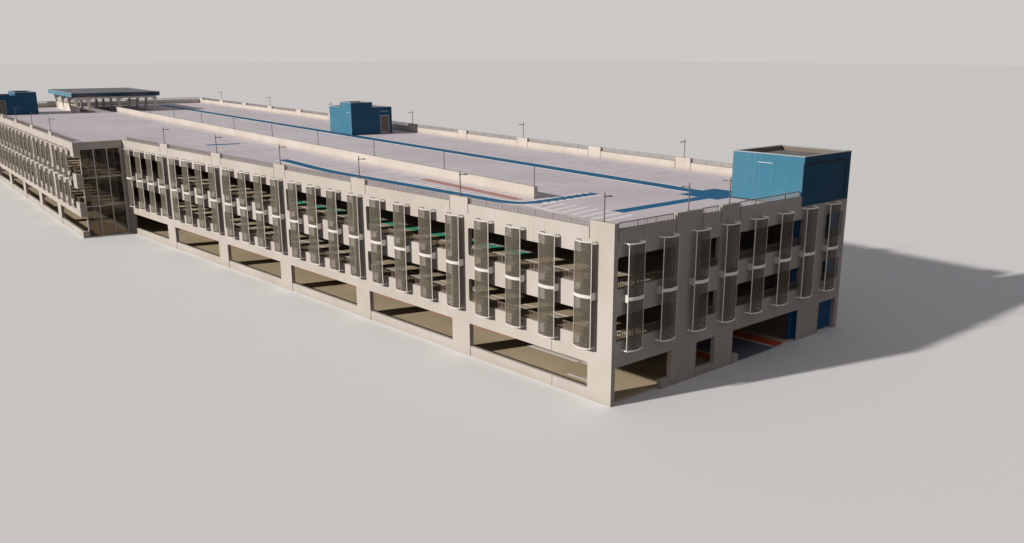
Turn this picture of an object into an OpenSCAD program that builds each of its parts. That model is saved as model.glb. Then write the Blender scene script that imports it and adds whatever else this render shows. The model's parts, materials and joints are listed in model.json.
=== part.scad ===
// Multi storey car park: a straight front, a wing that turns back, curved sun screens, an open roof
// deck and stair towers that rise through it. A scale model at 1:10, so 1 mm here is 1 cm of the
// real building. X runs along the straight front, Y towards the back, Z up from the ground.

/* [Plan] */
// Distance from one pilaster to the next along the front and the wing
bay = 1050; // [980:10:1120]
// Number of bays along the straight front
front_bays = 6; // [5:1:8]
// Number of bays along the turned wing
wing_bays = 7; // [6:1:8]
// Clear width of the first bay at the near corner
first_clear = 957; // [860:1:1000]
// Clear width of the last front bay, beside the glazed return wall
last_clear = 826; // [760:1:900]
// Clear width of the first wing bay, beside the open corner
wing_first_clear = 980; // [900:10:1040]
// Length of the near end wall
end_length = 2157; // [2140:1:2200]
// Depth of the wing from its front to the back
wing_depth = 3540; // [3440:10:3700]
// How far the wing steps forward of the straight front
wing_step = 455; // [430:5:500]
// Angle that the wing turns back from the line of the front
wing_angle = 6.4; // [5:0.1:8]
// Number of bays across the left end
left_bays = 3; // [2:1:4]

/* [Storeys] */
// Top of the first raised floor
level_one = 275; // [265:1:290]
// Top of the second raised floor
level_two = 545; // [535:1:560]
// Top of the roof deck
deck = 840; // [825:1:860]
// Thickness of the ground slab
ground_slab = 10; // [8:1:14]
// Thickness of the raised floors
slab = 30; // [24:1:36]
// How far each wall panel hangs below its floor
head_drop = 75; // [60:1:85]
// How far each wall panel stands above its floor
upstand = 60; // [50:1:70]
// How far the pilasters stand above the roof deck
pilaster_rise = 94; // [80:1:110]

/* [Walls] */
// Thickness of the outer walls
wall = 28; // [24:1:32]
// Width of a pilaster
pilaster_width = 162; // [140:1:180]
// Width of the pilasters at the outer corners
corner_width = 165; // [150:1:180]
// Width of the plain pier where the front meets the return wall
pier_width = 90; // [70:1:110]
// Height of the low walls at the ground
low_wall_height = 60; // [50:1:70]
// Thickness of the low walls
low_wall_thickness = 20; // [16:1:24]
// Width of the open joint beside each roof pilaster
joint_width = 5; // [3:0.5:7]
// Radius of the rounded corners of the window openings
corner_radius = 15; // [10:1:20]

/* [Sun screens] */
// Number of screens to a bay
screens_per_bay = 4; // [3:1:4]
// Width of a screen with its frame
screen_width = 120; // [100:1:140]
// How far the middle of a screen bulges out from its edges
screen_bulge = 18; // [14:1:24]
// Distance from the wall to the edges of a screen
screen_reach = 35; // [30:1:45]
// Bottom of the screens
screen_bottom = 285; // [275:1:300]
// Top of the screens
screen_top = 835; // [815:1:840]
// Height of the middle of the white band above the ground
band_middle = 557; // [540:1:575]
// Height of the white band
band_height = 17; // [12:1:24]
// Height of the top and bottom rails of a screen
screen_rail = 6; // [5:0.5:9]
// Width of the strips along the edges of a screen
screen_edge = 3.5; // [3:0.5:6]
// Thickness of a screen's edge strips
frame_depth = 4; // [3:0.5:4.5]
// Thickness of a screen's curved rails
rail_depth = 6; // [5:0.5:8]
// Thickness of the perforated sheet
sheet = 1.2; // [1:0.1:2]
// Set back of a screen's arms from the ends of its rails
arm_inset = 1.2; // [0.6:0.1:2]
// First screen of the front, from the near corner
front_screen_start = 114; // [100:1:140]
// First screen of the end wall, from the near corner
end_screen_start = 68; // [60:1:80]
// First screen of the wing, from the open corner
wing_screen_start = 160; // [100:1:180]

/* [End wall] */
// Start of the wide pilaster on the end wall
end_pilaster_one = 470; // [440:1:490]
// Width of the wide pilaster
wide_pilaster = 214; // [190:1:220]
// Start of the second pilaster on the end wall
end_pilaster_two = 849; // [820:1:860]
// Width of the second pilaster
end_pilaster_two_width = 166; // [150:1:180]
// Start of the pier between the vehicle entry and the stair door
end_pier = 1680; // [1660:1:1700]
// Width of that pier
end_pier_width = 245; // [230:1:250]
// Width of the pier at the far corner
far_pier_width = 42; // [36:1:48]
// Height of the sill under the ground floor window
sill_height = 45; // [35:1:55]
// Height of the stub walls beside the entries
stub_height = 50; // [40:1:60]
// Length of the stub wall beside the corner opening
corner_stub_length = 80; // [60:1:90]
// Length of the stub wall beside the vehicle entry
entry_stub_length = 65; // [50:1:80]

/* [Return wall] */
// Distance of the first pane from the line of the front
return_glass_start = 25; // [20:1:40]
// Distance of the end of the glazing from the line of the front
return_glass_end = 400; // [380:1:410]
// Number of panes side by side
return_panes = 3; // [2:1:4]
// Width of the bars between the panes
mullion = 8; // [6:0.5:12]
// Top of each transom above its floor
transom_rise = 23; // [15:1:30]
// Depth of the glazing's top edge below the roof deck
glazing_drop = 2; // [1:0.5:6]

/* [Stair towers] */
// Length of the near tower along the front
core_length = 505; // [480:1:560]
// Start of the near tower along the end wall
core_start = 1630; // [1600:1:1650]
// Top of the near tower
near_top = 1135; // [1100:1:1180]
// Thickness of the tower walls
tower_wall = 20; // [16:1:24]
// Thickness of the tower roofs
tower_roof = 14; // [10:1:18]
// Depth of the tower roofs below the tops of their walls
roof_sink = 28; // [20:1:32]
// Border round the sunk panel on the near tower's end face
panel_border = 40; // [30:1:50]
// Depth of that sunk panel
panel_sink = 4; // [2:0.5:6]
// Top of the middle tower's tall part
mid_tall_top = 1185; // [1160:1:1210]
// Top of the middle tower's low part
mid_low_top = 1130; // [1120:1:1150]
// Top of the left tower's tall part
left_tall_top = 1150; // [1130:1:1180]
// Top of the left tower's low part
left_low_top = 1110; // [1105:1:1120]
// How far the middle tower's near corner lies to the right of the wing's open corner
mid_tower_offset = 140; // [120:5:200]
// Distance of the middle tower from the back of the wing
mid_tower_setback = 280; // [250:5:330]
// Length of the middle tower along the wing
mid_tower_length = 550; // [510:5:600]
// Width of the middle tower towards the back
mid_tower_width = 490; // [480:5:500]
// Length of the middle tower's tall part
mid_tall_length = 270; // [250:5:300]
// Width of the middle tower's tall part
mid_tall_width = 255; // [235:5:275]
// Distance of the middle tower's door from its front face
mid_door = 356; // [330:1:360]
// Distance of the left tower from the wing's left end
left_tower_inset = 1195; // [1150:5:1250]
// Distance of the left tower from the wing's front
left_tower_setback = 120; // [100:5:160]
// Length of the left tower along the wing
left_tower_length = 600; // [560:5:640]
// Width of the left tower towards the back
left_tower_width = 540; // [500:5:560]
// Width of the left tower's tall part, which takes its whole length
left_tall_width = 270; // [250:5:300]
// Distance of the left tower's door from its front face
left_door = 36; // [25:1:45]
// Clear width of a tower door
door_width = 90; // [80:1:98]
// Clear height of a tower door
door_height = 195; // [190:1:205]
// Thickness of a door leaf
door_leaf = 6; // [4:0.5:8]

/* [Roof] */
// Height of the rail on the parapet, above the roof deck
roof_rail_top = 95; // [88:1:105]
// Height of the guards at the raised floors
guard_top = 105; // [95:1:115]
// Thickness of the bars of the rails and guards
rail_bar = 4; // [3:0.5:5]
// Gap between a rail and the pilasters at its ends
rail_inset = 10; // [6:1:15]
// Largest spacing of the rail posts
rail_spacing = 150; // [120:5:200]
// Diameter of a lamp post
lamp_diameter = 6; // [5:0.5:8]
// Height of a lamp post above what it stands on
lamp_height = 142; // [130:1:160]
// Length of a lamp's side arm
lamp_arm = 45; // [30:1:55]
// Height of a lamp's side arm
lamp_arm_height = 4; // [3:0.5:5]
// Depth of the side arm below the top of its post
lamp_arm_drop = 18; // [10:1:24]
// Depth of the wall that divides the roof deck, from the wing's front
divider_line = 1690; // [1600:10:1750]
// Distance of that wall's near end from the near end wall
divider_start = 1300; // [1200:10:1400]
// Distance from one post on that wall to the next
divider_pitch = 1085; // [900:5:1200]
// Distance of the first of those posts from the wall's near end
divider_post_start = 15; // [10:1:100]
// Height of those posts
divider_post_height = 125; // [110:1:140]
// Height of that wall above the deck
divider_height = 76; // [60:1:90]
// Distance of the canopy from the wing's left end
canopy_inset = 75; // [60:5:200]
// Length of the canopy
canopy_length = 1770; // [1600:10:1780]
// Depth of the canopy
canopy_depth = 1240; // [1200:10:1280]
// Distance of the canopy from the wing's front
canopy_setback = 1110; // [1060:10:1160]
// Top of the canopy
canopy_top = 1120; // [1100:1:1140]
// Thickness of the canopy
canopy_thickness = 57; // [45:1:70]
// Number of frames under the canopy
frame_count = 4; // [3:1:4]
// Distance from one frame to the next
frame_pitch = 500; // [460:10:510]
// Distance of the first frame from the canopy's near end
frame_inset = 40; // [20:5:60]
// Distance of the frames' outer legs from the canopy's long edges
frame_setback = 70; // [50:5:90]
// How far the outer legs lean out at their tops
frame_lean = 35; // [0:5:40]
// Thickness of the frames and width of their legs
frame_leg = 30; // [24:1:36]
// Width of the narrow opening at the front of each frame
frame_gate_width = 120; // [110:5:130]
// Height of that opening
frame_gate_height = 175; // [160:5:185]
// Width of the wide opening behind it
frame_middle_width = 390; // [360:10:420]
// Radius of the frames' inner shoulders
frame_shoulder = 45; // [30:1:50]
// Height of the low walls between the frames
frame_wall_height = 105; // [90:5:120]
// Thickness of the low walls between the frames
frame_wall = 20; // [16:1:24]

/* [Hidden] */
// Plan point under the model's origin, measured from the near corner
origin_point = [-6200, 1500];
// Small set back that keeps a fixed leaf clear of the edges round it
seat = 0.3;
$fn = 48;

wall_colour = "#cfc6ba";
floor_colour = "#b9b4b4";
screen_colour = "#6b645a";
white_colour = "#efece6";
navy_colour = "#16394f";
teal_colour = "#3f8ca6";
dark_colour = "#3a3a3c";

levels = [level_one, level_two];
floors = [level_one, level_two, deck];
parapet_top = deck + upstand;
parapet_foot = deck - head_drop;
pilaster_top = deck + pilaster_rise;
ground_head = level_one - head_drop;
screen_pitch = bay / screens_per_bay;

// Pilasters of each wall as [start, end], measured along the wall from its first corner.
front_posts = concat(
  [[0, corner_width]],
  [for (k = [1 : front_bays - 1]) stretch(corner_width + first_clear + (k - 1) * bay, pilaster_width)]
);
front_pier_start = front_posts[front_bays - 1][1] + last_clear;
front_length = front_pier_start + pier_width;
front_line = concat(front_posts, [[front_pier_start, front_length]]);

wing_length = wing_first_clear + (wing_bays - 1) * bay + corner_width;
wing_posts = concat(
  [for (k = [1 : wing_bays - 1]) stretch(wing_first_clear + (k - 1) * bay, pilaster_width)],
  [[wing_length - corner_width, wing_length]]
);

end_posts = [
  [wall, wall],
  [end_pilaster_one, end_pilaster_one + wide_pilaster],
  [end_pilaster_two, end_pilaster_two + end_pilaster_two_width],
  [end_pier, end_pier + end_pier_width],
  [end_length - far_pier_width, end_length]
];

left_clear = (wing_depth - 2 * wall - (left_bays - 1) * pilaster_width) / left_bays;
left_posts = concat(
  [[wall, wall]],
  [for (k = [1 : left_bays - 1]) stretch(wall + k * left_clear + (k - 1) * pilaster_width, pilaster_width)],
  [[wing_depth - wall, wing_depth - wall]]
);

// The back wall runs from the left end to the step behind the near stair core, or to the side of
// that core where the wing is shallow.
back_line = wing_at_x(-core_length, wing_depth);
has_step = back_line[1] > end_length;
step_face = -core_length + (has_step ? wall : 0);
rear_length = wing_length - wing_along(step_face, wing_depth);
rear_bays = front_bays + wing_bays - 1;
rear_pitch = (rear_length - corner_width) / rear_bays;
rear_posts = concat(
  [[0, corner_width]],
  [for (k = [1 : rear_bays]) stretch(k * rear_pitch + corner_width - pilaster_width, pilaster_width)]
);

// Curved sheet of a screen: radius and half angle from the width and the bulge.
screen_radius = (pow(screen_width / 2, 2) + pow(screen_bulge, 2)) / (2 * screen_bulge);
screen_half = asin(screen_width / 2 / screen_radius);
edge_angle = screen_edge / screen_radius * 180 / PI;
band = [band_middle - band_height / 2, band_middle + band_height / 2];

glazing_top = deck - glazing_drop;
return_rows = [level_one + transom_rise, level_two + transom_rise, glazing_top];
return_glass_width = return_glass_end - return_glass_start;
return_pitch = (return_glass_width - mullion) / return_panes;

core_width = end_length - wall - core_start;
near_size = [core_length, end_length - core_start];
mid_size = [mid_tower_length, mid_tower_width];
mid_tall = [mid_tall_length, mid_tall_width];
left_tower_size = [left_tower_length, left_tower_width];
left_tall = [left_tower_length, left_tall_width];
left_tall_start = left_tower_width - left_tall_width;

wing_line = concat([[0, 0]], wing_posts);
canopy_start = wing_length - canopy_inset - canopy_length;
divider_near = wing_along(-divider_start, divider_line);
divider_length = canopy_start - divider_near;
// As many posts as the wall carries.
divider_posts = floor((divider_length - 2 * divider_post_start) / divider_pitch) + 1;

// Stretch of a wall as [start, end].
function stretch(start, width) = [start, start + width];

// Foot of a tower's tall part, whose inner walls stand on the low roof.
function tall_foot(low_top) = low_top - roof_sink - tower_roof;

// Gaps between the pilasters of a wall, as [start, end].
function spans(posts) = [for (i = [0 : len(posts) - 2]) [posts[i][1], posts[i + 1][0]]];

// Number of screens that fit along a wall of the given length.
function screen_count(length, start) = floor((length - start - screen_width) / screen_pitch) + 1;

// Plan point from the wing's own grid: a along the wing, b to the back.
function wing_point(a, b) = [
  -front_length - a * cos(wing_angle) + b * sin(wing_angle),
  -wing_step + a * sin(wing_angle) + b * cos(wing_angle)
];

// Distance along the wing at which the line b reaches the plan line X = x.
function wing_along(x, b) = (-front_length + b * sin(wing_angle) - x) / cos(wing_angle);
function wing_at_x(x, b) = wing_point(wing_along(x, b), b);

// Inner outline of the building up to the stair core.
inner_outline = [
  [-wall, wall],
  [-front_length - wall, wall],
  wing_at_x(-front_length - wall, wall),
  wing_point(wing_length - wall, wall),
  wing_point(wing_length - wall, wing_depth - wall),
  wing_at_x(-core_length, wing_depth - wall)
];

// Stands each wall's own grid in place: x along the wall, y inwards, z up.
module on_front() {
  mirror([1, 0, 0]) children();
}

module on_end() {
  rotate([0, 0, 90]) children();
}

module on_wing() {
  translate([-front_length, -wing_step, 0])
    rotate([0, 0, -wing_angle])
      mirror([1, 0, 0]) children();
}

module on_left() {
  on_wing() translate([wing_length, 0, 0]) rotate([0, 0, 90]) children();
}

module on_rear() {
  on_wing() translate([wing_length, wing_depth, 0]) rotate([0, 0, 180]) children();
}

module placed() {
  translate([-origin_point[0], -origin_point[1], 0]) children();
}

// Upright plate of the outline drawn in x and z.
module plate(thickness) {
  translate([0, thickness, 0]) rotate([90, 0, 0]) linear_extrude(thickness) children();
}

module block(x_range, z_range, thickness = wall) {
  translate([x_range[0], 0, z_range[0]])
    cube([x_range[1] - x_range[0], thickness, z_range[1] - z_range[0]]);
}

// Fillet that rounds the corner of an opening, in the quarter given by the two signs.
module fillet_2d(x_sign, z_sign) {
  difference() {
    scale([x_sign, z_sign]) square(corner_radius);
    translate([x_sign * corner_radius, z_sign * corner_radius]) circle(corner_radius);
  }
}

// Wall panel across one span. The fillets round the corners of the openings below and above it.
module panel_2d(span, z_range, below, above) {
  translate([span[0], z_range[0]]) square([span[1] - span[0], z_range[1] - z_range[0]]);
  if (above) {
    translate([span[0], z_range[1]]) fillet_2d(1, 1);
    translate([span[1], z_range[1]]) mirror([1, 0]) fillet_2d(1, 1);
  }
  if (below) {
    translate([span[0], z_range[0]]) mirror([0, 1]) fillet_2d(1, 1);
    translate([span[1], z_range[0]]) mirror([1, 0]) mirror([0, 1]) fillet_2d(1, 1);
  }
}

module floor_panels(posts, level, below) {
  for (span = spans(posts))
    plate(wall) panel_2d(span, [level - head_drop, level + upstand], below, true);
}

// Parapet panels with an open joint beside each pilaster above the deck.
module parapet_panels(posts, top = parapet_top) {
  for (span = spans(posts))
    plate(wall) parapet_2d(span, top);
}

module parapet_2d(span, top) {
  difference() {
    panel_2d(span, [parapet_foot, top], true, false);
    for (x = [span[0], span[1] - joint_width])
      translate([x, deck + 2]) square([joint_width, upstand]);
  }
}

module low_walls(posts) {
  for (span = spans(posts))
    translate([0, (wall - low_wall_thickness) / 2, 0])
      block(span, [0, low_wall_height], low_wall_thickness);
}

module pilasters(posts, top = pilaster_top) {
  for (post = posts)
    block(post, [0, top]);
}

module floor_plate(top, thickness, outline) {
  translate([0, 0, top - thickness]) linear_extrude(thickness) polygon(outline);
}

// Raised floors stop at the two outer faces of the stair core.
module raised_floor(top) {
  floor_plate(top, slab, concat(inner_outline, [[-core_length, core_start], [-wall, core_start]]));
}

// Curved band of a screen between two radii, swept round the screen's own centre.
module curved_band(radius, depth, z_range, from_angle, to_angle) {
  rotate([0, 0, -90 + from_angle])
    rotate_extrude(angle = to_angle - from_angle, $fn = 96)
      translate([radius - depth / 2, z_range[0]]) square([depth, z_range[1] - z_range[0]]);
}

// Stands a screen with its edges the given reach out from the wall.
module screen_place(start, count) {
  for (k = [0 : count - 1])
    translate([start + k * screen_pitch + screen_width / 2, screen_radius - screen_bulge - screen_reach, 0])
      children();
}

module screen_sheets(start, count) {
  inner = screen_half - edge_angle;
  screen_place(start, count) {
    curved_band(screen_radius, sheet, [screen_bottom + screen_rail, band[0]], -inner, inner);
    curved_band(screen_radius, sheet, [band[1], screen_top - screen_rail], -inner, inner);
  }
}

// Frame of a screen: three curved rails, two edge strips and the arms that carry it off the wall.
module screen_frames(start, count) {
  rails = [
    [screen_bottom, screen_bottom + screen_rail],
    band,
    [screen_top - screen_rail, screen_top]
  ];
  screen_place(start, count) {
    for (rail = rails)
      curved_band(screen_radius, rail_depth, rail, -screen_half, screen_half);
    for (side = [-screen_half, screen_half - edge_angle])
      curved_band(screen_radius, frame_depth, [screen_bottom, screen_top], side, side + edge_angle);
    for (side = [-1, 1], rail = rails)
      translate([side * (screen_width / 2 - arm_inset - screen_edge / 2) - screen_edge / 2,
                 screen_bulge - screen_radius - arm_inset, rail[0]])
        cube([screen_edge, screen_reach + arm_inset, rail[1] - rail[0]]);
  }
}

// Rail with posts across one span, standing on the panel below it.
module rail_run(span, z_range) {
  length = span[1] - span[0] - 2 * rail_inset;
  count = ceil(length / rail_spacing);
  translate([span[0] + rail_inset, (wall - rail_bar) / 2, 0]) {
    translate([0, 0, z_range[1] - rail_bar]) cube([length, rail_bar, rail_bar]);
    for (k = [0 : count])
      translate([k * (length - rail_bar) / count, 0, z_range[0]])
        cube([rail_bar, rail_bar, z_range[1] - z_range[0]]);
  }
}

module rail_runs(posts, z_range) {
  for (span = spans(posts))
    rail_run(span, z_range);
}

// Lamp post standing at the given point, with a side arm that reaches inwards over the deck.
module lamp_post(point) {
  translate(point) {
    cylinder(d = lamp_diameter, h = lamp_height);
    translate([-lamp_diameter / 2, 0, lamp_height - lamp_arm_drop - lamp_arm_height])
      cube([lamp_diameter, lamp_arm, lamp_arm_height]);
  }
}

// Tower walls of one part: a box open at the foot and the top.
module tower_shell(size, z_range) {
  difference() {
    translate([0, 0, z_range[0]]) cube([size[0], size[1], z_range[1] - z_range[0]]);
    translate([tower_wall, tower_wall, z_range[0] - 1])
      cube([size[0] - 2 * tower_wall, size[1] - 2 * tower_wall, z_range[1] - z_range[0] + 2]);
  }
}

module ground_floor() {
  color(floor_colour) placed()
    floor_plate(ground_slab, ground_slab,
                concat(inner_outline, [[-core_length, end_length - wall], [-wall, end_length - wall]]));
}

module level_one_floor() {
  color(floor_colour) placed() raised_floor(level_one);
}

module level_two_floor() {
  color(floor_colour) placed() raised_floor(level_two);
}

module roof_deck() {
  color(floor_colour) placed() raised_floor(deck);
}

module front_pilasters() {
  color(wall_colour) placed() on_front() {
    pilasters(front_posts);
    block(front_line[front_bays], [0, parapet_top]);
  }
}

module front_low_walls() {
  color(wall_colour) placed() on_front() low_walls(front_line);
}

module front_level_one_spandrels() {
  color(wall_colour) placed() on_front() floor_panels(front_line, level_one, false);
}

module front_level_two_spandrels() {
  color(wall_colour) placed() on_front() floor_panels(front_line, level_two, true);
}

module front_parapets() {
  color(wall_colour) placed() on_front() parapet_panels(front_line);
}

// Pilasters of the end wall. The last two stop at the deck, under the tower.
module end_pilasters() {
  color(wall_colour) placed() on_end() {
    pilasters([end_posts[1], end_posts[2]]);
    pilasters([end_posts[3], end_posts[4]], deck);
  }
}

// Sill of the ground floor window and the stub walls beside the corner opening and the entry.
module end_ground_walls() {
  color(wall_colour) placed() on_end() {
    block([end_pilaster_one - corner_stub_length, end_pilaster_one], [0, stub_height]);
    block(spans(end_posts)[1], [0, sill_height]);
    block(stretch(end_posts[2][1], entry_stub_length), [0, stub_height]);
  }
}

module end_spandrels() {
  color(wall_colour) placed() on_end() {
    floor_panels(end_posts, level_one, false);
    floor_panels(end_posts, level_two, true);
  }
}

// Parapets of the end wall. From the tower on they stop at the deck.
module end_parapets() {
  color(wall_colour) placed() on_end()
    difference() {
      parapet_panels(end_posts);
      translate([core_start, -1, deck]) cube([end_length - core_start, wall + 2, upstand + 1]);
    }
}

module wing_pilasters() {
  color(wall_colour) placed() on_wing() pilasters(wing_posts);
}

// Cuts what stands on the wing's front back to the inner face of the return wall.
module behind_return() {
  difference() {
    children();
    translate([-front_length - wall, -wing_step - wall, -1]) cube([2 * wall, 3 * wall, parapet_top + 2]);
  }
}

module wing_low_walls() {
  color(wall_colour) placed() behind_return() on_wing() low_walls(wing_line);
}

module wing_spandrels() {
  color(wall_colour) placed() behind_return() on_wing() {
    floor_panels(wing_line, level_one, false);
    floor_panels(wing_line, level_two, true);
  }
}

module wing_parapets() {
  color(wall_colour) placed() behind_return() on_wing() parapet_panels(wing_line);
}

module rear_pilasters() {
  color(wall_colour) placed() on_rear() pilasters(rear_posts);
}

module rear_wall_panels() {
  color(wall_colour) placed() on_rear() wall_panels(rear_posts);
}

// All the panels of one wall: low walls, two rows of spandrels and the parapets.
module wall_panels(posts) {
  low_walls(posts);
  floor_panels(posts, level_one, false);
  floor_panels(posts, level_two, true);
  parapet_panels(posts);
}

// Plain wall that steps round the back of the near stair core.
module rear_corner_wall() {
  back_edge = wing_at_x(step_face, wing_depth - wall);
  inner_edge = wing_at_x(-core_length, wing_depth - wall);
  color(wall_colour) placed() {
    if (has_step)
      linear_extrude(parapet_top)
        polygon([[step_face, end_length], back_edge, inner_edge, [-core_length, end_length]]);
    translate([-core_length, end_length - wall, 0])
      cube([core_length - wall, wall, deck]);
  }
}

module left_pilasters() {
  color(wall_colour) placed() on_left() pilasters([for (k = [1 : left_bays - 1]) left_posts[k]]);
}

module left_wall_panels() {
  color(wall_colour) placed() on_left() wall_panels(left_posts);
}

// Return wall between the front and the wing: parapet, short bands at the open corner and a corner post.
module return_wall_bands() {
  corner = [-front_length, -wing_step];
  inner_corner = wing_at_x(-front_length - wall, 0);
  band_outline = [
    corner,
    inner_corner,
    [-front_length - wall, -return_glass_end],
    [-front_length, -return_glass_end]
  ];
  color(wall_colour) placed() {
    for (level = levels)
      translate([0, 0, level - head_drop])
        linear_extrude(head_drop + upstand) polygon(band_outline);
    translate([0, 0, parapet_foot])
      linear_extrude(parapet_top - parapet_foot) polygon(band_outline);
    translate([-front_length - wall, -return_glass_end, glazing_top])
      cube([wall, return_glass_end, parapet_top - glazing_top]);
    translate([-front_length - wall, -return_glass_start, 0])
      cube([wall, return_glass_start, glazing_top]);
    translate([-front_length - wall, 0, 0]) cube([wall, wall, parapet_top]);
    linear_extrude(low_wall_height) polygon(band_outline);
  }
}

// Mullions and transoms of the return wall's glazing.
module return_wall_frame() {
  color(white_colour) placed()
    translate([-front_length - 2 * mullion, -return_glass_end, 0]) {
      for (k = [0 : return_panes])
        translate([0, k * return_pitch, 0]) cube([mullion, mullion, glazing_top]);
      for (top = concat([mullion], return_rows))
        translate([0, 0, top - mullion]) cube([mullion, return_glass_width, mullion]);
    }
}

// One sheet of glass to a pane, seated between the bars.
module return_wall_glass() {
  pane = 2;
  feet = concat([mullion], [return_rows[0], return_rows[1]]);
  color("#8fa3ad", 0.4) placed()
    translate([-front_length - 1.5 * mullion - pane / 2, -return_glass_end, 0])
      for (k = [0 : return_panes - 1], row = [0 : len(feet) - 1])
        translate([0, k * return_pitch + mullion, feet[row]])
          cube([pane, return_pitch - mullion, return_rows[row] - mullion - feet[row]]);
}

// Walls of the stair core through the storeys, with the doorway from the end wall.
module stair_core_walls() {
  color(navy_colour) placed()
    difference() {
      translate([-core_length, core_start, 0])
        tower_shell([core_length - wall, core_width], [ground_slab, deck]);
      translate([-wall - tower_wall - 1, end_posts[3][1], ground_slab])
        cube([tower_wall + 2, end_posts[4][0] - end_posts[3][1], ground_head - ground_slab]);
    }
}

// Walls of the near tower above the deck, with the sunk panel on its end face.
module near_tower_walls() {
  color(navy_colour) placed()
    difference() {
      translate([-core_length, core_start, 0]) tower_shell(near_size, [deck, near_top]);
      translate([-panel_sink, core_start - 1, deck - 1])
        cube([panel_sink + 1, near_size[1] - panel_border + 1, near_top - panel_border - deck + 1]);
    }
}

// Flat roof let in below the top of the walls.
module near_tower_roof() {
  color(floor_colour) placed()
    translate([-core_length, core_start, near_top - roof_sink - tower_roof])
      inner_block(near_size, tower_roof);
}

// Block that fills the space between a tower's walls.
module inner_block(size, height) {
  translate([tower_wall, tower_wall, 0])
    cube([size[0] - 2 * tower_wall, size[1] - 2 * tower_wall, height]);
}

// Two part tower: the whole footprint up to the low top, one part of it up to the tall top.
module stepped_tower(size, tops, tall_origin, tall_size, door_start) {
  foot = tall_foot(tops[0]);
  difference() {
    union() {
      tower_shell(size, [deck, tops[0]]);
      translate([tall_origin[0], tall_origin[1], foot])
        cube([tall_size[0], tall_size[1], tops[1] - foot]);
    }
    translate([tall_origin[0], tall_origin[1], deck]) inner_block(tall_size, tops[1] - deck + 1);
    translate([-1, door_start, deck - 1]) cube([tower_wall + 2, door_width, door_height + 1]);
  }
}

module on_mid_tower() {
  on_wing()
    translate([-mid_tower_offset, wing_depth - mid_tower_setback - mid_tower_width, 0]) children();
}

module on_left_tower() {
  on_wing()
    translate([wing_length - left_tower_inset - left_tower_size[0], left_tower_setback, 0]) children();
}

module mid_tower_walls() {
  color(navy_colour) placed() on_mid_tower()
    stepped_tower(mid_size, [mid_low_top, mid_tall_top], [0, 0], mid_tall, mid_door);
}

module left_tower_walls() {
  color(navy_colour) placed() on_left_tower()
    stepped_tower(left_tower_size, [left_low_top, left_tall_top], [0, left_tall_start], left_tall, left_door);
}

// Roofs of a stepped tower, let in between its walls. The low one carries the tall part's inner walls.
module stepped_roofs(size, tops, tall_origin, tall_size) {
  foot = tall_foot(tops[0]);
  translate([tall_origin[0], tall_origin[1], tops[1] - roof_sink - tower_roof])
    inner_block(tall_size, tower_roof);
  difference() {
    translate([0, 0, foot - tower_roof]) inner_block(size, tower_roof);
    translate([tall_origin[0], tall_origin[1], foot - tower_roof - 1])
      inner_block(tall_size, tower_roof + 2);
  }
}

module mid_tower_roofs() {
  color(floor_colour) placed() on_mid_tower()
    stepped_roofs(mid_size, [mid_low_top, mid_tall_top], [0, 0], mid_tall);
}

module left_tower_roofs() {
  color(floor_colour) placed() on_left_tower()
    stepped_roofs(left_tower_size, [left_low_top, left_tall_top], [0, left_tall_start], left_tall);
}

// Leaf in a tower's door opening, behind the face of its wall.
module tower_door(start) {
  translate([door_leaf, start + seat, deck + seat])
    cube([door_leaf, door_width - 2 * seat, door_height - 2 * seat]);
}

// Fixed door leaves: the blue one at the ground and one in each tower on the deck.
module stair_doors() {
  color(navy_colour) placed() {
    translate([-wall, end_posts[3][1] + seat, ground_slab + seat])
      cube([door_leaf, end_posts[4][0] - end_posts[3][1] - 2 * seat, ground_head - ground_slab - 2 * seat]);
    on_mid_tower() tower_door(mid_door);
    on_left_tower() tower_door(left_door);
  }
}

// Wall between the two halves of the roof deck, standing on it.
module divider_wall() {
  color(wall_colour) placed() on_wing()
    translate([divider_near, divider_line, deck])
      cube([divider_length, wall, divider_height]);
}

module canopy_roof() {
  color(teal_colour) placed() on_wing()
    translate([canopy_start, canopy_setback, canopy_top - canopy_thickness])
      cube([canopy_length, canopy_depth, canopy_thickness]);
}

// Frames under the canopy, with low walls between their outer legs.
module canopy_frames() {
  span = canopy_depth - 2 * frame_setback;
  color(white_colour) placed() on_wing()
    translate([canopy_start + frame_inset, canopy_setback + frame_setback, deck]) {
      for (k = [0 : frame_count - 1])
        translate([k * frame_pitch, 0, 0]) rotate([90, 0, 90]) linear_extrude(frame_leg)
          frame_2d(span, canopy_top - canopy_thickness - deck);
      translate([0, (frame_leg - frame_wall) / 2, 0])
        cube([(frame_count - 1) * frame_pitch + frame_leg, frame_wall, frame_wall_height]);
    }
}

// Outline of one frame: four legs, the outer ones leaning out, with arched openings between them.
module frame_2d(span, height) {
  second = 2 * frame_leg + frame_gate_width;
  third = second + frame_middle_width + frame_leg;
  slope = frame_lean / height;
  difference() {
    polygon([[0, 0], [span, 0], [span + frame_lean, height], [-frame_lean, height]]);
    translate([frame_leg, 0]) arch_2d(frame_gate_width, frame_gate_height, slope);
    translate([second, 0]) arch_2d(frame_middle_width, height - frame_leg, 0);
    translate([span - frame_leg, 0]) mirror([1, 0])
      arch_2d(span - frame_leg - third, height - frame_leg, slope);
  }
}

// Opening with a rounded shoulder on each side and an open foot. Its first side leans out by the slope.
module arch_2d(width, height, slope) {
  spring = height - frame_shoulder;
  polygon([
    [slope, -1], [width, -1], [width, spring], [width - frame_shoulder, height],
    [frame_shoulder - slope * spring, height], [-slope * spring, spring]
  ]);
  for (x = [frame_shoulder - slope * spring, width - frame_shoulder])
    translate([x, spring]) circle(frame_shoulder);
}

module front_screen_panels() {
  color(screen_colour) placed() on_front()
    screen_sheets(front_screen_start, screen_count(front_pier_start, front_screen_start));
}

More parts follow.
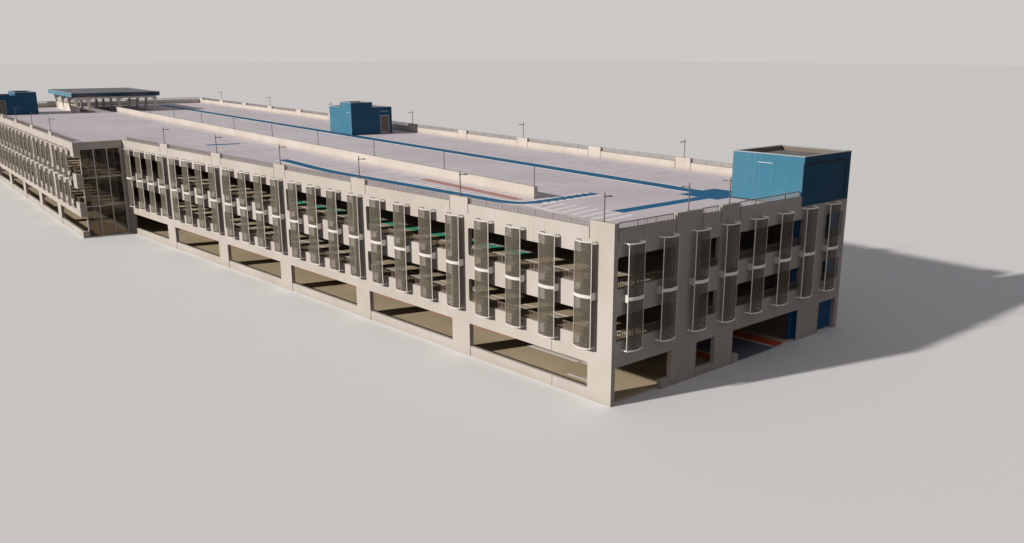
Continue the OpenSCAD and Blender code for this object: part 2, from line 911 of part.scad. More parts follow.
module front_screen_frames() {
  color(white_colour) placed() on_front()
    screen_frames(front_screen_start, screen_count(front_pier_start, front_screen_start));
}

module end_screen_panels() {
  color(screen_colour) placed() on_end()
    screen_sheets(end_screen_start, screen_count(end_length, end_screen_start));
}

module end_screen_frames() {
  color(white_colour) placed() on_end()
    screen_frames(end_screen_start, screen_count(end_length, end_screen_start));
}

module wing_screen_panels() {
  color(screen_colour) placed() on_wing()
    screen_sheets(wing_screen_start, screen_count(wing_length, wing_screen_start));
}

module wing_screen_frames() {
  color(white_colour) placed() on_wing()
    screen_frames(wing_screen_start, screen_count(wing_length, wing_screen_start));
}

// Rails on the parapets between the pilasters, on every side.
module roof_railings() {
  rail = [parapet_top, deck + roof_rail_top];
  color(dark_colour) placed() {
    on_front() rail_runs(front_line, rail);
    on_end() rail_runs([end_posts[0], end_posts[1], end_posts[2], [core_start, core_start]], rail);
    on_wing() rail_runs(concat([[wall, wall]], wing_posts), rail);
    on_rear() rail_runs(rear_posts, rail);
    on_left() rail_runs(left_posts, rail);
  }
}

// Guards on the upstands of the two raised floors, in the window openings.
module level_guards() {
  color(dark_colour) placed()
    for (level = levels) {
      rail = [level + upstand, level + guard_top];
      on_front() rail_runs(front_line, rail);
      on_end() rail_runs(end_posts, rail);
      on_wing() rail_runs(concat([[wall, wall]], wing_posts), rail);
      on_rear() rail_runs(rear_posts, rail);
      on_left() rail_runs(left_posts, rail);
    }
}

// Middles of the pilasters of a wall.
function middles(posts) = [for (post = posts) (post[0] + post[1]) / 2];

// Lamps on the pilasters round the deck, and the plain posts on the wall that divides it.
module lamp_posts() {
  middle = wall / 2;
  divider_top = deck + divider_height;
  color(dark_colour) placed() {
    on_front() for (x = middles(front_posts))
      lamp_post([x, middle, pilaster_top]);
    on_end() for (x = middles([end_posts[1], end_posts[2]]))
      lamp_post([x, middle, pilaster_top]);
    on_wing() for (x = middles(wing_posts))
      lamp_post([x, middle, pilaster_top]);
    on_rear() for (k = [1 : 2 : rear_bays])
      lamp_post([middles(rear_posts)[k], middle, pilaster_top]);
    on_wing() for (k = [0 : divider_posts - 1])
      translate([divider_near + divider_post_start + k * divider_pitch, divider_line + middle, divider_top])
        cylinder(d = lamp_diameter, h = divider_post_height);
  }
}

ground_floor();
level_one_floor();
level_two_floor();
roof_deck();
front_pilasters();
front_low_walls();
front_level_one_spandrels();
front_level_two_spandrels();
front_parapets();
end_pilasters();
end_ground_walls();
end_spandrels();
end_parapets();
wing_pilasters();
wing_low_walls();
wing_spandrels();
wing_parapets();
rear_pilasters();
rear_wall_panels();
rear_corner_wall();
left_pilasters();
left_wall_panels();
return_wall_bands();
return_wall_frame();
return_wall_glass();
stair_core_walls();
near_tower_walls();
near_tower_roof();
mid_tower_walls();
mid_tower_roofs();
left_tower_walls();
left_tower_roofs();
stair_doors();
divider_wall();
canopy_roof();
canopy_frames();
front_screen_panels();
front_screen_frames();
end_screen_panels();
end_screen_frames();
wing_screen_panels();
wing_screen_frames();
roof_railings();
level_guards();
lamp_posts();
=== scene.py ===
"""Looks of a multi storey car park, a 1:10 model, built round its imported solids.

The solids carry the walls, floors, towers and screens. This file adds what is finer than they are:
the pickets of the rails, the fixings of the screens, the trims of the towers, the paint on the
floors and a finish for every piece. Sizes are in metres of the model, so 0.1 m here is 1 m of the
real building.
"""

import json
import logging
import math
from dataclasses import dataclass
from enum import Enum
from functools import cache
from typing import Iterable, Sequence

import bmesh
import bpy
from mathutils import Matrix, Vector


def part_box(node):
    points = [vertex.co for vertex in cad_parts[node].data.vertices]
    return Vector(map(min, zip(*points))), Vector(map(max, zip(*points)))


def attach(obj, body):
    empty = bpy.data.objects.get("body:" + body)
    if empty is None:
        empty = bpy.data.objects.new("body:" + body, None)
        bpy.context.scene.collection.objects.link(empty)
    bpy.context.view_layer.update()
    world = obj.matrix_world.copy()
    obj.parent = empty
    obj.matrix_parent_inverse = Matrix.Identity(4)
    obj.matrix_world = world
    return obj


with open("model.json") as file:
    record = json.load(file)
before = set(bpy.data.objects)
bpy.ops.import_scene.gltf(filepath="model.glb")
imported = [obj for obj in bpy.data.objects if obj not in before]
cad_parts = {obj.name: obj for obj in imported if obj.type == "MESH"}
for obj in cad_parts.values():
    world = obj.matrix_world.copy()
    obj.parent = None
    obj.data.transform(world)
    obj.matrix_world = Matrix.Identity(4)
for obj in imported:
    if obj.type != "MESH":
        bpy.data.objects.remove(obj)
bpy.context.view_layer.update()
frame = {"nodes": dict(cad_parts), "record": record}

log = logging.getLogger("car_park")

Span = tuple[float, float]
Area = tuple[Span, Span]
Path = tuple[Span, ...]
Colour = tuple[float, float, float]
Point = tuple[float, float, float]
Box = tuple[Point, Point]
Socket = bpy.types.NodeSocket
Tree = bpy.types.NodeTree
Material = bpy.types.Material

UNIT: Span = (0.0, 1.0)
HERE = Matrix.Identity(4)


class Side(Enum):
    """The outer walls, each with its own grid."""

    FRONT = "front"
    END = "end"
    WING = "wing"
    LEFT = "left"
    REAR = "rear"


@dataclass(frozen=True)
class Tower:
    """A stair tower on the deck, on its own grid: x along its front, y to its back."""

    place: Matrix
    size: Span
    tops: Span
    tall_at: Span = (0.0, 0.0)
    tall: Span | None = None

    def roofs(self) -> list[Area]:
        """Plan areas of the tower's roofs in its own grid, the tall part's first."""
        (width, depth), (x0, y0) = self.size, self.tall_at
        x1, y1 = (x0 + self.tall[0], y0 + self.tall[1]) if self.tall else self.size
        areas = (
            ((x0, x1), (y0, y1)),
            ((x1, width), (0.0, depth)),
            ((x0, x1), (y1, depth)),
            ((x0, x1), (0.0, y0)),
        )
        return [(x, y) for x, y in areas if x[1] - x[0] > 0.001 and y[1] - y[0] > 0.001]

    def linings(self, turn: float, skin: float = 0.012) -> tuple[Area, ...]:
        """Areas inside the walls round the roofs, in the turned axes of their cladding.

        Args:
            turn: turn of those axes about Z in radians.
            skin: how far the outer cladding reaches into the walls.

        Returns:
            For each roof its span along and across the turned axes.
        """
        turned = Matrix.Rotation(turn, 4, "Z") @ self.place
        areas = []
        for x, y in self.roofs():
            a, b = (turned @ Vector((x[k], y[k], 0.0)) for k in (0, 1))
            along, across = (
                (min(p, q) + skin, max(p, q) - skin) for p, q in ((a.x, b.x), (a.y, b.y))
            )
            areas.append((along, across))
        return tuple(areas)


@dataclass(frozen=True)
class Plan:
    """Sizes of the building that the added pieces must meet."""

    scale: float = 10.0
    near_x: float = 6.2
    near_y: float = -1.5
    bay: float = 1.05
    front_bays: int = 6
    wing_bays: int = 7
    rear_bays: int = 12
    left_bays: int = 3
    first_clear: float = 0.957
    last_clear: float = 0.826
    wing_first_clear: float = 0.98
    end_length: float = 2.157
    end_piers: Path = ((0.47, 0.684), (0.849, 1.015), (1.68, 1.925), (2.115, 2.157))
    wing_depth: float = 3.54
    wing_step: float = 0.455
    wing_angle: float = math.radians(6.4)
    wall: float = 0.028
    pilaster: float = 0.162
    corner: float = 0.165
    pier: float = 0.09
    core_length: float = 0.505
    core_start: float = 1.63
    ground: float = 0.01
    levels: Span = (0.275, 0.545)
    deck: float = 0.84
    upstand: float = 0.06
    head_drop: float = 0.075
    pilaster_top: float = 0.934
    near_top: float = 1.135
    mid_start: float = -0.14
    mid_gap: float = 0.28
    mid_size: Span = (0.55, 0.49)
    mid_tall: Span = (0.27, 0.255)
    mid_tops: Span = (1.13, 1.185)
    left_front: float = 0.12
    left_gap: float = 1.195
    left_size: Span = (0.6, 0.54)
    left_tall: Span = (0.6, 0.27)
    left_tops: Span = (1.11, 1.15)
    divider_line: float = 1.69
    divider_near: float = -1.3
    divider_height: float = 0.076
    canopy_start: float = 5.6
    canopy_end: float = 7.37
    canopy_setback: float = 1.11
    canopy_depth: float = 1.24
    canopy_top: float = 1.12

    @property
    def parapet_top(self) -> float:
        """Top of the parapets."""
        return self.deck + self.upstand

    @property
    def front_length(self) -> float:
        """Length of the straight front up to the return wall."""
        return self.front_line()[-1][1]

    @property
    def wing_length(self) -> float:
        """Length of the wing's front."""
        return self.wing_first_clear + (self.wing_bays - 1) * self.bay + self.corner

    def front_posts(self) -> list[Span]:
        """Pilasters of the front, measured from the near corner."""
        first = self.corner + self.first_clear
        starts = [first + k * self.bay for k in range(self.front_bays - 1)]
        return [(0.0, self.corner)] + [(s, s + self.pilaster) for s in starts]

    def front_line(self) -> list[Span]:
        """Pilasters of the front and the plain pier at its end."""
        posts = self.front_posts()
        start = posts[-1][1] + self.last_clear
        return posts + [(start, start + self.pier)]

    def wing_posts(self) -> list[Span]:
        """Pilasters of the wing, measured from the open corner."""
        starts = [self.wing_first_clear + k * self.bay for k in range(self.wing_bays - 1)]
        last = self.wing_length
        return [(s, s + self.pilaster) for s in starts] + [(last - self.corner, last)]

    def end_posts(self) -> list[Span]:
        """Piers of the near end wall, measured from the near corner."""
        return [(self.wall, self.wall), *self.end_piers]

    def left_posts(self) -> list[Span]:
        """Piers of the left end wall."""
        piers = (self.left_bays - 1) * self.pilaster
        clear = (self.wing_depth - 2 * self.wall - piers) / self.left_bays
        starts = [self.wall + k * clear + (k - 1) * self.pilaster for k in range(1, self.left_bays)]
        far = self.wing_depth - self.wall
        return [(self.wall, self.wall)] + [(s, s + self.pilaster) for s in starts] + [(far, far)]

    def rear_posts(self) -> list[Span]:
        """Pilasters of the back wall, measured from the left end."""
        step_face = self.wall - self.core_length
        length = self.wing_length - self.wing_along(step_face, self.wing_depth)
        pitch = (length - self.corner) / self.rear_bays
        starts = [k * pitch + self.corner - self.pilaster for k in range(1, self.rear_bays + 1)]
        return [(0.0, self.corner)] + [(s, s + self.pilaster) for s in starts]

    def wing_along(self, x: float, depth: float) -> float:
        """Distance along the wing at which a line at this depth meets a plan line.

        Args:
            x: the plan line, measured from the near corner.
            depth: distance back from the wing's front.

        Returns:
            The distance along the wing from its open corner.
        """
        turned = -self.front_length + depth * math.sin(self.wing_angle) - x
        return turned / math.cos(self.wing_angle)

    def grid(self, side: Side) -> Matrix:
        """Matrix of one wall's own grid: x along the wall, y inwards, z up.

        Args:
            side: the wall.

        Returns:
            A matrix from the wall's grid to the model.
        """
        corner = Matrix.Translation((self.near_x, self.near_y, 0.0))
        mirrored = Matrix.Diagonal((-1.0, 1.0, 1.0, 1.0))
        quarter = Matrix.Rotation(math.pi / 2, 4, "Z")
        wing = (
            corner
            @ Matrix.Translation((-self.front_length, -self.wing_step, 0.0))
            @ Matrix.Rotation(-self.wing_angle, 4, "Z")
            @ mirrored
        )
        grids = {
            Side.FRONT: corner @ mirrored,
            Side.END: corner @ quarter,
            Side.WING: wing,
            Side.LEFT: wing @ Matrix.Translation((self.wing_length, 0.0, 0.0)) @ quarter,
            Side.REAR: wing
            @ Matrix.Translation((self.wing_length, self.wing_depth, 0.0))
            @ Matrix.Rotation(math.pi, 4, "Z"),
        }
        return grids[side]

    def towers(self) -> tuple[Tower, Tower, Tower]:
        """The near, the middle and the left stair tower."""
        wing = self.grid(Side.WING)
        near = (self.near_x - self.core_length, self.near_y + self.core_start, 0.0)
        mid = (self.mid_start, self.wing_depth - self.mid_gap - self.mid_size[1], 0.0)
        left = (self.wing_length - self.left_gap - self.left_size[0], self.left_front, 0.0)
        near_size = (self.core_length, self.end_length - self.core_start)
        left_at = (0.0, self.left_size[1] - self.left_tall[1])
        return (
            Tower(Matrix.Translation(near), near_size, (self.near_top, self.near_top)),
            Tower(wing @ Matrix.Translation(mid), self.mid_size, self.mid_tops, tall=self.mid_tall),
            Tower(
                wing @ Matrix.Translation(left),
                self.left_size,
                self.left_tops,
                left_at,
                self.left_tall,
            ),
        )

    def real(self, x: float, y: float, z: float | None = None) -> Vector:
        """Point of the model from full size metres measured from the near corner.

        Args:
            x: metres along the front, negative towards the wing.
            y: metres to the back.
            z: height in metres of the model, or None for the roof deck.

        Returns:
            The point in the model.
        """
        height = self.deck if z is None else z
        return Vector((self.near_x + x / self.scale, self.near_y + y / self.scale, height))

    def line(self, path: Iterable[Span], z: float | None = None) -> list[Vector]:
        """Points of the model along a path given in full size metres.

        Args:
            path: metres along the front and to the back of each point.
            z: height of all the points in metres of the model, or None for the roof deck.

        Returns:
            The points in the model.
        """
        return [self.real(x, y, z) for x, y in path]


PLAN = Plan()


def spans(posts: Sequence[Span]) -> list[Span]:
    """Gaps between neighbouring posts of a wall.

    Args:
        posts: the posts, in order.

    Returns:
        Start and end of each gap.
    """
    return [(a[1], b[0]) for a, b in zip(posts, posts[1:])]


def shift(x: float, y: float = 0.0, z: float = 0.0) -> Matrix:
    """Matrix that moves a shape by the given distances."""
    return Matrix.Translation((x, y, z))


def paint(red: int, green: int, blue: int) -> Colour:
    """Linear colour from the 0 to 255 values of a paint chart.

    Args:
        red: red value.
        green: green value.
        blue: blue value.

    Returns:
        The colour as Blender's sockets take it.
    """

    def linear(value: int) -> float:
        """One channel, from display to linear."""
        v = value / 255.0
        return v / 12.92 if v <= 0.04045 else ((v + 0.055) / 1.055) ** 2.4

    return (linear(red), linear(green), linear(blue))


class Bench:
    """Places and joins shader nodes in one tree."""

    def __init__(self, tree: Tree) -> None:
        """Keeps the tree that the nodes go into."""
        self.tree = tree

    def node(self, kind: str, **values: object) -> bpy.types.Node:
        """Adds a node.

        Args:
            kind: the node's type name.
            **values: settings of the node by name.

        Returns:
            The new node.
        """
        made = self.tree.nodes.new(kind)
        for name, value in values.items():
            setattr(made, name, value)
        return made

    def feed(self, socket: Socket, value: object) -> None:
        """Links a socket to another one, or sets it to a plain value."""
        if isinstance(value, Socket):
            self.tree.links.new(value, socket)
        else:
            socket.default_value = value

    def math(self, operation: str, a: object, b: object = 0.5, clamp: bool = False) -> Socket:
        """Adds one sum on two values.

        Args:
            operation: name of the sum.
            a: first value or socket.
            b: second value or socket.
            clamp: whether the result is kept from 0 to 1.

        Returns:
            The result's socket.
        """
        made = self.node("ShaderNodeMath", operation=operation, use_clamp=clamp)
        self.feed(made.inputs[0], a)
        self.feed(made.inputs[1], b)
        return made.outputs[0]

    def times(self, a: object, b: object) -> Socket:
        """The product of two values."""
        return self.math("MULTIPLY", a, b)

    def above(self, a: object, b: object) -> Socket:
        """One where the first value is the greater, and nought elsewhere."""
        return self.math("GREATER_THAN", a, b)

    def below(self, a: object, b: object) -> Socket:
        """One where the first value is the lesser, and nought elsewhere."""
        return self.math("LESS_THAN", a, b)

    def size_of(self, value: object) -> Socket:
        """A value without its sign."""
        return self.math("ABSOLUTE", value, 0.0)

    def ramp(self, value: object, source: Span, result: Span = UNIT) -> Socket:
        """Stretches a range of values onto another, with soft ends.

        Args:
            value: the value or socket.
            source: the range of values that is stretched, from its start to its end.
            result: what its start and its end become.

        Returns:
            The result's socket.
        """
        made = self.node("ShaderNodeMapRange", interpolation_type="SMOOTHSTEP")
        self.feed(made.inputs[0], value)
        for socket, number in zip(made.inputs[1:5], (*source, *result)):
            socket.default_value = number
        return made.outputs[0]

    def blend(self, amount: object, a: object, b: object) -> Socket:
        """Mixes two colours.

        Args:
            amount: share of the second colour.
            a: first colour or socket.
            b: second colour or socket.

        Returns:
            The mixed colour's socket.
        """
        made = self.node("ShaderNodeMix", data_type="RGBA", blend_type="MIX")
        self.feed(made.inputs[0], amount)
        for socket, colour in ((made.inputs[6], a), (made.inputs[7], b)):
            self.feed(socket, (*colour, 1.0) if isinstance(colour, tuple) else colour)
        return made.outputs[2]

    def coats(self, colour: object, *coats: tuple[Socket, object, Colour]) -> Socket:
        """Lays tints over a colour, one after the other.

        Args:
            colour: the first colour or socket.
            *coats: for each tint its mask, how much of it shows there, and its colour.

        Returns:
            The last colour's socket.
        """
        for mask, share, tint in coats:
            colour = self.blend(self.times(mask, share), colour, tint)
        return colour

    def noise(self, vector: object, scale: object, detail: float, rough: float) -> Socket:
        """Adds a cloud of noise.

        Args:
            vector: where it is read.
            scale: how fine it is, as a number or a socket.
            detail: number of finer layers.
            rough: strength of those layers.

        Returns:
            The noise value's socket.
        """
        made = self.node("ShaderNodeTexNoise")
        self.feed(made.inputs["Vector"], vector)
        self.feed(made.inputs["Scale"], scale)
        made.inputs["Detail"].default_value = detail
        made.inputs["Roughness"].default_value = rough
        return made.outputs["Fac"]

    def place(self) -> Socket:
        """The point on the piece, in the model's own metres."""
        return self.node("ShaderNodeTexCoord").outputs["Object"]

    def turned(self, scale: Point = (1.0, 1.0, 1.0), turn: float = 0.0) -> Socket:
        """The point on the piece, turned about Z and stretched.

        Args:
            scale: stretch along each axis after the turn.
            turn: turn about Z in radians.

        Returns:
            The vector's socket.
        """
        made = self.node("ShaderNodeMapping", vector_type="POINT")
        self.feed(made.inputs["Vector"], self.place())
        made.inputs["Rotation"].default_value = (0.0, 0.0, turn)
        made.inputs["Scale"].default_value = scale
        return made.outputs[0]

    def axes(self, vector: object) -> list[Socket]:
        """The three parts of a vector."""
        made = self.node("ShaderNodeSeparateXYZ")
        self.feed(made.inputs[0], vector)
        return list(made.outputs)

    def facing(self) -> list[Socket]:
        """The three parts of the surface's own direction."""
        return self.axes(self.node("ShaderNodeNewGeometry").outputs["Normal"])


class Effect:
    """Shader node groups that more than one finish uses, each made once."""

    @staticmethod
    def _begin(
        name: str, inputs: dict[str, float], outputs: Sequence[str]
    ) -> tuple[Bench, bpy.types.NodeOutputs, bpy.types.NodeInputs]:
        """Starts a group with its sockets.

        Args:
            name: the group's name.
            inputs: its inputs, all numbers, with their usual values.
            outputs: its outputs, all numbers.

        Returns:
            A bench on the group, the values given to it and the results that it puts out.
        """
        tree = bpy.data.node_groups.new(name, "ShaderNodeTree")
        for key, value in inputs.items():
            socket = tree.interface.new_socket(key, in_out="INPUT", socket_type="NodeSocketFloat")
            socket.default_value = value
        for key in outputs:
            tree.interface.new_socket(key, in_out="OUTPUT", socket_type="NodeSocketFloat")
        bench = Bench(tree)
        return bench, bench.node("NodeGroupInput").outputs, bench.node("NodeGroupOutput").inputs

    @staticmethod
    @cache
    def cast_grain() -> Tree:
        """Clouds, fine grain and small pores of a cast or painted surface."""
        sizes = {"Cloud Scale": 2.5, "Grain Scale": 60.0}
        bench, given, result = Effect._begin("cast_grain", sizes, ("Clouds", "Grain", "Pores"))
        point = bench.place()
        clouds = bench.noise(point, given["Cloud Scale"], detail=4.0, rough=0.6)
        grain = bench.noise(point, given["Grain Scale"], detail=5.0, rough=0.7)
        cells = bench.node("ShaderNodeTexVoronoi", feature="F1")
        bench.feed(cells.inputs["Vector"], point)
        bench.feed(cells.inputs["Scale"], given["Grain Scale"])
        bench.feed(result["Clouds"], bench.ramp(clouds, (0.3, 0.7)))
        bench.feed(result["Grain"], grain)
        bench.feed(result["Pores"], bench.ramp(cells.outputs["Distance"], (0.16, 0.08)))
        return bench.tree

    @staticmethod
    @cache
    def rain_marks() -> Tree:
        """Soft upright streaks that rain leaves, and splash dirt at the ground."""
        sizes = {"Streak Scale": 22.0, "Splash Height": 0.05}
        bench, given, result = Effect._begin("rain_marks", sizes, ("Streaks", "Splash"))
        drawn_out, drawn_less = (1.0, 1.0, 0.045), (1.0, 1.0, 0.35)
        fine = bench.noise(bench.turned(drawn_out), given["Streak Scale"], detail=3.0, rough=0.6)
        broad = bench.noise(bench.turned(drawn_less), 3.1, detail=2.0, rough=0.5)
        streak = bench.times(bench.ramp(fine, (0.5, 0.72)), bench.ramp(broad, (0.42, 0.62)))
        upright = bench.math("SUBTRACT", 1.0, bench.size_of(bench.facing()[2]), clamp=True)
        bench.feed(result["Streaks"], bench.times(streak, upright))
        height = bench.axes(bench.place())[2]
        wobble = bench.noise(bench.place(), 9.0, detail=4.0, rough=0.6)
        edge = bench.times(given["Splash Height"], bench.ramp(wobble, (0.2, 0.8), (0.4, 1.6)))
        low = bench.math("SUBTRACT", 1.0, bench.math("DIVIDE", height, edge), clamp=True)
        bench.feed(result["Splash"], bench.times(low, upright))
        return bench.tree

    @staticmethod
    @cache
    def worn_edges() -> Tree:
        """Mask of the outer edges, broken up as knocks and weather leave them."""
        sizes = {"Width": 0.003, "Break Scale": 30.0}
        bench, given, result = Effect._begin("worn_edges", sizes, ("Edge",))
        rounded = bench.node("ShaderNodeBevel", samples=4)
        bench.feed(rounded.inputs["Radius"], given["Width"])
        level = bench.node("ShaderNodeVectorMath", operation="DOT_PRODUCT")
        bench.feed(level.inputs[0], rounded.outputs[0])
        bench.feed(level.inputs[1], bench.node("ShaderNodeNewGeometry").outputs["Normal"])
        rim = bench.ramp(level.outputs["Value"], (0.995, 0.86))
        patches = bench.noise(bench.place(), given["Break Scale"], detail=4.0, rough=0.65)
        bench.feed(result["Edge"], bench.times(rim, bench.ramp(patches, (0.38, 0.62))))
        return bench.tree

    @staticmethod
    @cache
    def painted_hollow_shade() -> Tree:
        """Mask of painted shade in the hollows behind screens and under ledges, from occlusion."""
        bench, given, result = Effect._begin("painted_hollow_shade", {"Reach": 0.05}, ("Hollow Shade",))
        hollow = bench.node("ShaderNodeAmbientOcclusion", samples=6)
        bench.feed(hollow.inputs["Distance"], given["Reach"])
        bench.feed(result["Hollow Shade"], bench.ramp(hollow.outputs["AO"], (0.78, 0.2)))
        return bench.tree

    @staticmethod
    @cache
    def joint_grid() -> Tree:
        """Thin lines of a grid of joints on the plan, such as saw cuts in a floor."""
        sizes = {"Along": 0.525, "Across": 0.5, "Line": 0.0022}
        bench, given, result = Effect._begin("joint_grid", sizes, ("Lines",))
        parts = bench.axes(bench.place())
        lines = []
        for part, pitch in ((parts[0], given["Along"]), (parts[1], given["Across"])):
            inside = bench.math("PINGPONG", part, bench.times(pitch, 0.5))
            lines.append(bench.below(inside, bench.times(given["Line"], 0.5)))
        bench.feed(result["Lines"], bench.math("MAXIMUM", *lines))
        return bench.tree

    @staticmethod
    @cache
    def slotted_mesh() -> Tree:
        """Slanting strands of a stretched sheet, tied across so that slots stay open."""
        sizes = {
            "Along": 0.0, "Up": 0.0, "Pitch": 0.0075, "Slot": 0.021, "Strand": 0.56, "Tie": 0.2
        }
        bench, given, result = Effect._begin("slotted_mesh", sizes, ("Sheet", "Slope", "Second"))
        lean = math.radians(16.0)

        def across(a: float, b: float) -> Socket:
            """Distance in a slanting direction."""
            return bench.math("ADD", bench.times(given["Along"], a), bench.times(given["Up"], b))

        row = bench.math("DIVIDE", across(math.sin(lean), math.cos(lean)), given["Pitch"])
        strand = bench.math("FRACT", row)
        second = bench.math("FLOORED_MODULO", bench.math("FLOOR", row), 2.0)
        half_slot = bench.times(second, 0.5)
        step = bench.math("DIVIDE", across(math.cos(lean), -math.sin(lean)), given["Slot"])
        tie = bench.math("FRACT", bench.math("ADD", step, half_slot))
        solid = bench.below(strand, given["Strand"])
        tied = bench.below(tie, given["Tie"])
        bench.feed(result["Sheet"], bench.math("MAXIMUM", solid, tied))
        # Slope rises across each strand; the screens use it for bump and for a painted highlight.
        bench.feed(result["Slope"], bench.times(solid, bench.ramp(strand, (0.1, 0.55))))
        bench.feed(result["Second"], second)
        return bench.tree


class Finish:
    """A material under way: its tree, its main shader and the shared effects placed in it."""

    def __init__(
        self, name: str, roughness: float, metallic: float = 0.0, gloss: float = 0.3
    ) -> None:
        """Makes an empty material with plain values on its shader."""
        self.material = bpy.data.materials.new(name)
        self.material.use_nodes = True
        tree = self.material.node_tree
        self.bench = Bench(tree)
        self.shader = next(n for n in tree.nodes if n.type == "BSDF_PRINCIPLED")
        self.preset("Roughness", roughness)
        self.preset("Metallic", metallic)
        self.preset("Specular IOR Level", gloss)

    def effect(self, group: Tree, **values: object) -> bpy.types.NodeOutputs:
        """Places a shared effect with its own values.

        Args:
            group: the effect's group.
            **values: inputs by name, with underscores for spaces.

        Returns:
            What the effect puts out, by name.
        """
        placed = self.bench.node("ShaderNodeGroup", node_tree=group)
        for name, value in values.items():
            self.bench.feed(placed.inputs[name.replace("_", " ")], value)
        return placed.outputs

    def preset(self, socket: str, number: float) -> None:
        """Sets a number that is the same all over the surface."""
        self.shader.inputs[socket].default_value = number

    def feed(self, socket: str, value: object) -> None:
        """Links one socket of the main shader."""
        self.bench.feed(self.shader.inputs[socket], value)

    def roughen(self, mask: Socket, result: Span, source: Span = UNIT) -> None:
        """Varies the roughness with a mask.

        Args:
            mask: the mask's socket.
            result: roughness at the start and the end of the mask's range.
            source: that range.
        """
        self.feed("Roughness", self.bench.ramp(mask, source, result))

    def relief(self, height: Socket, strength: float, depth: float) -> None:
        """Raises the surface by a height.

        Args:
            height: the height's socket, from 0 to 1.
            strength: how much of it shows.
            depth: its depth in metres of the model.
        """
        bump = self.bench.node("ShaderNodeBump")
        bump.inputs["Strength"].default_value = strength
        bump.inputs["Distance"].default_value = depth
        self.bench.feed(bump.inputs["Height"], height)
        self.feed("Normal", bump.outputs[0])


@dataclass(frozen=True)
class CastConcrete:
    """Smooth cast concrete of the walls, with clouds, pores, rain marks and chipped edges."""

    name: str = "wall_concrete"
    body: Colour = paint(210, 202, 193)
    cloud: Colour = paint(194, 184, 171)
    chip: Colour = paint(224, 217, 207)
    dirt: Colour = paint(120, 110, 98)
    hollow_shade: Colour = paint(92, 78, 68)
    foot: Span = (0.05, 0.14)
    hollow_shade_shares: Span = (0.1, 0.75)

    def build(self) -> Material:
        """Makes the material."""
        finish = Finish(self.name, roughness=0.82)
        bench = finish.bench
        grain = finish.effect(Effect.cast_grain(), Cloud_Scale=2.2, Grain_Scale=90.0)
        marks = finish.effect(Effect.rain_marks(), Streak_Scale=26.0, Splash_Height=0.045)
        edges = finish.effect(Effect.worn_edges(), Width=0.0025, Break_Scale=26.0)
        colour = bench.coats(
            self.body,
            (grain["Clouds"], 0.75, self.cloud),
            (grain["Grain"], 0.16, self.dirt),
            (marks["Streaks"], 0.13, self.dirt),
            (marks["Splash"], 0.14, self.dirt),
            (grain["Pores"], 0.22, self.dirt),
            (edges["Edge"], 0.6, self.chip),
        )
        # Painted shade: hollows behind the screens and under ledges darken, less near the wall's
        # foot.
        hollows = finish.effect(Effect.painted_hollow_shade(), Reach=0.055)["Hollow Shade"]
        above_foot = bench.ramp(bench.axes(bench.place())[2], self.foot, self.hollow_shade_shares)
        colour = bench.coats(colour, (hollows, above_foot, self.hollow_shade))
        finish.feed("Base Color", colour)
        finish.roughen(grain["Grain"], (0.74, 0.92), source=(0.3, 0.75))
        height = bench.math("SUBTRACT", grain["Grain"], grain["Pores"])
        finish.relief(height, strength=0.35, depth=0.0006)
        return finish.material


@dataclass(frozen=True)
class FloorConcrete:
    """Floated concrete of the floors and the deck, with saw cuts, tyre marks and stains."""

    name: str
    body: Colour
    cloud: Colour
    mark: Colour
    mark_share: float
    soffit_painted_shade: Colour = paint(74, 64, 54)
    lane_stretch: Point = (0.06, 1.0, 1.0)

    def build(self) -> Material:
        """Makes the material."""
        finish = Finish(self.name, roughness=0.8)
        bench = finish.bench
        grain = finish.effect(Effect.cast_grain(), Cloud_Scale=1.6, Grain_Scale=70.0)
        joints = finish.effect(Effect.joint_grid(), Along=0.525, Across=0.49, Line=0.0024)
        lanes = bench.noise(bench.turned(self.lane_stretch), 16.0, detail=3.0, rough=0.6)
        patches = bench.noise(bench.place(), 5.5, detail=4.0, rough=0.6)
        wear = bench.times(bench.ramp(lanes, (0.5, 0.74)), bench.ramp(patches, (0.36, 0.62)))
        stains = bench.noise(bench.place(), 21.0, detail=2.0, rough=0.5)
        colour = bench.coats(
            bench.blend(grain["Clouds"], self.body, self.cloud),
            (grain["Grain"], 0.2, self.mark),
            (wear, self.mark_share, self.mark),
            (bench.ramp(stains, (0.69, 0.76)), 0.35, self.mark),
            (joints["Lines"], 0.55, self.mark),
        )
        # Painted shade: faces turned downwards take a darker colour.
        soffit_painted_shade = bench.coats(self.soffit_painted_shade, (grain["Clouds"], 0.4, self.mark))
        below = bench.below(bench.facing()[2], -0.5)
        finish.feed("Base Color", bench.blend(below, colour, soffit_painted_shade))
        finish.roughen(wear, (0.84, 0.62))
        height = bench.math("SUBTRACT", grain["Grain"], joints["Lines"])
        finish.relief(height, strength=0.4, depth=0.0007)
        return finish.material


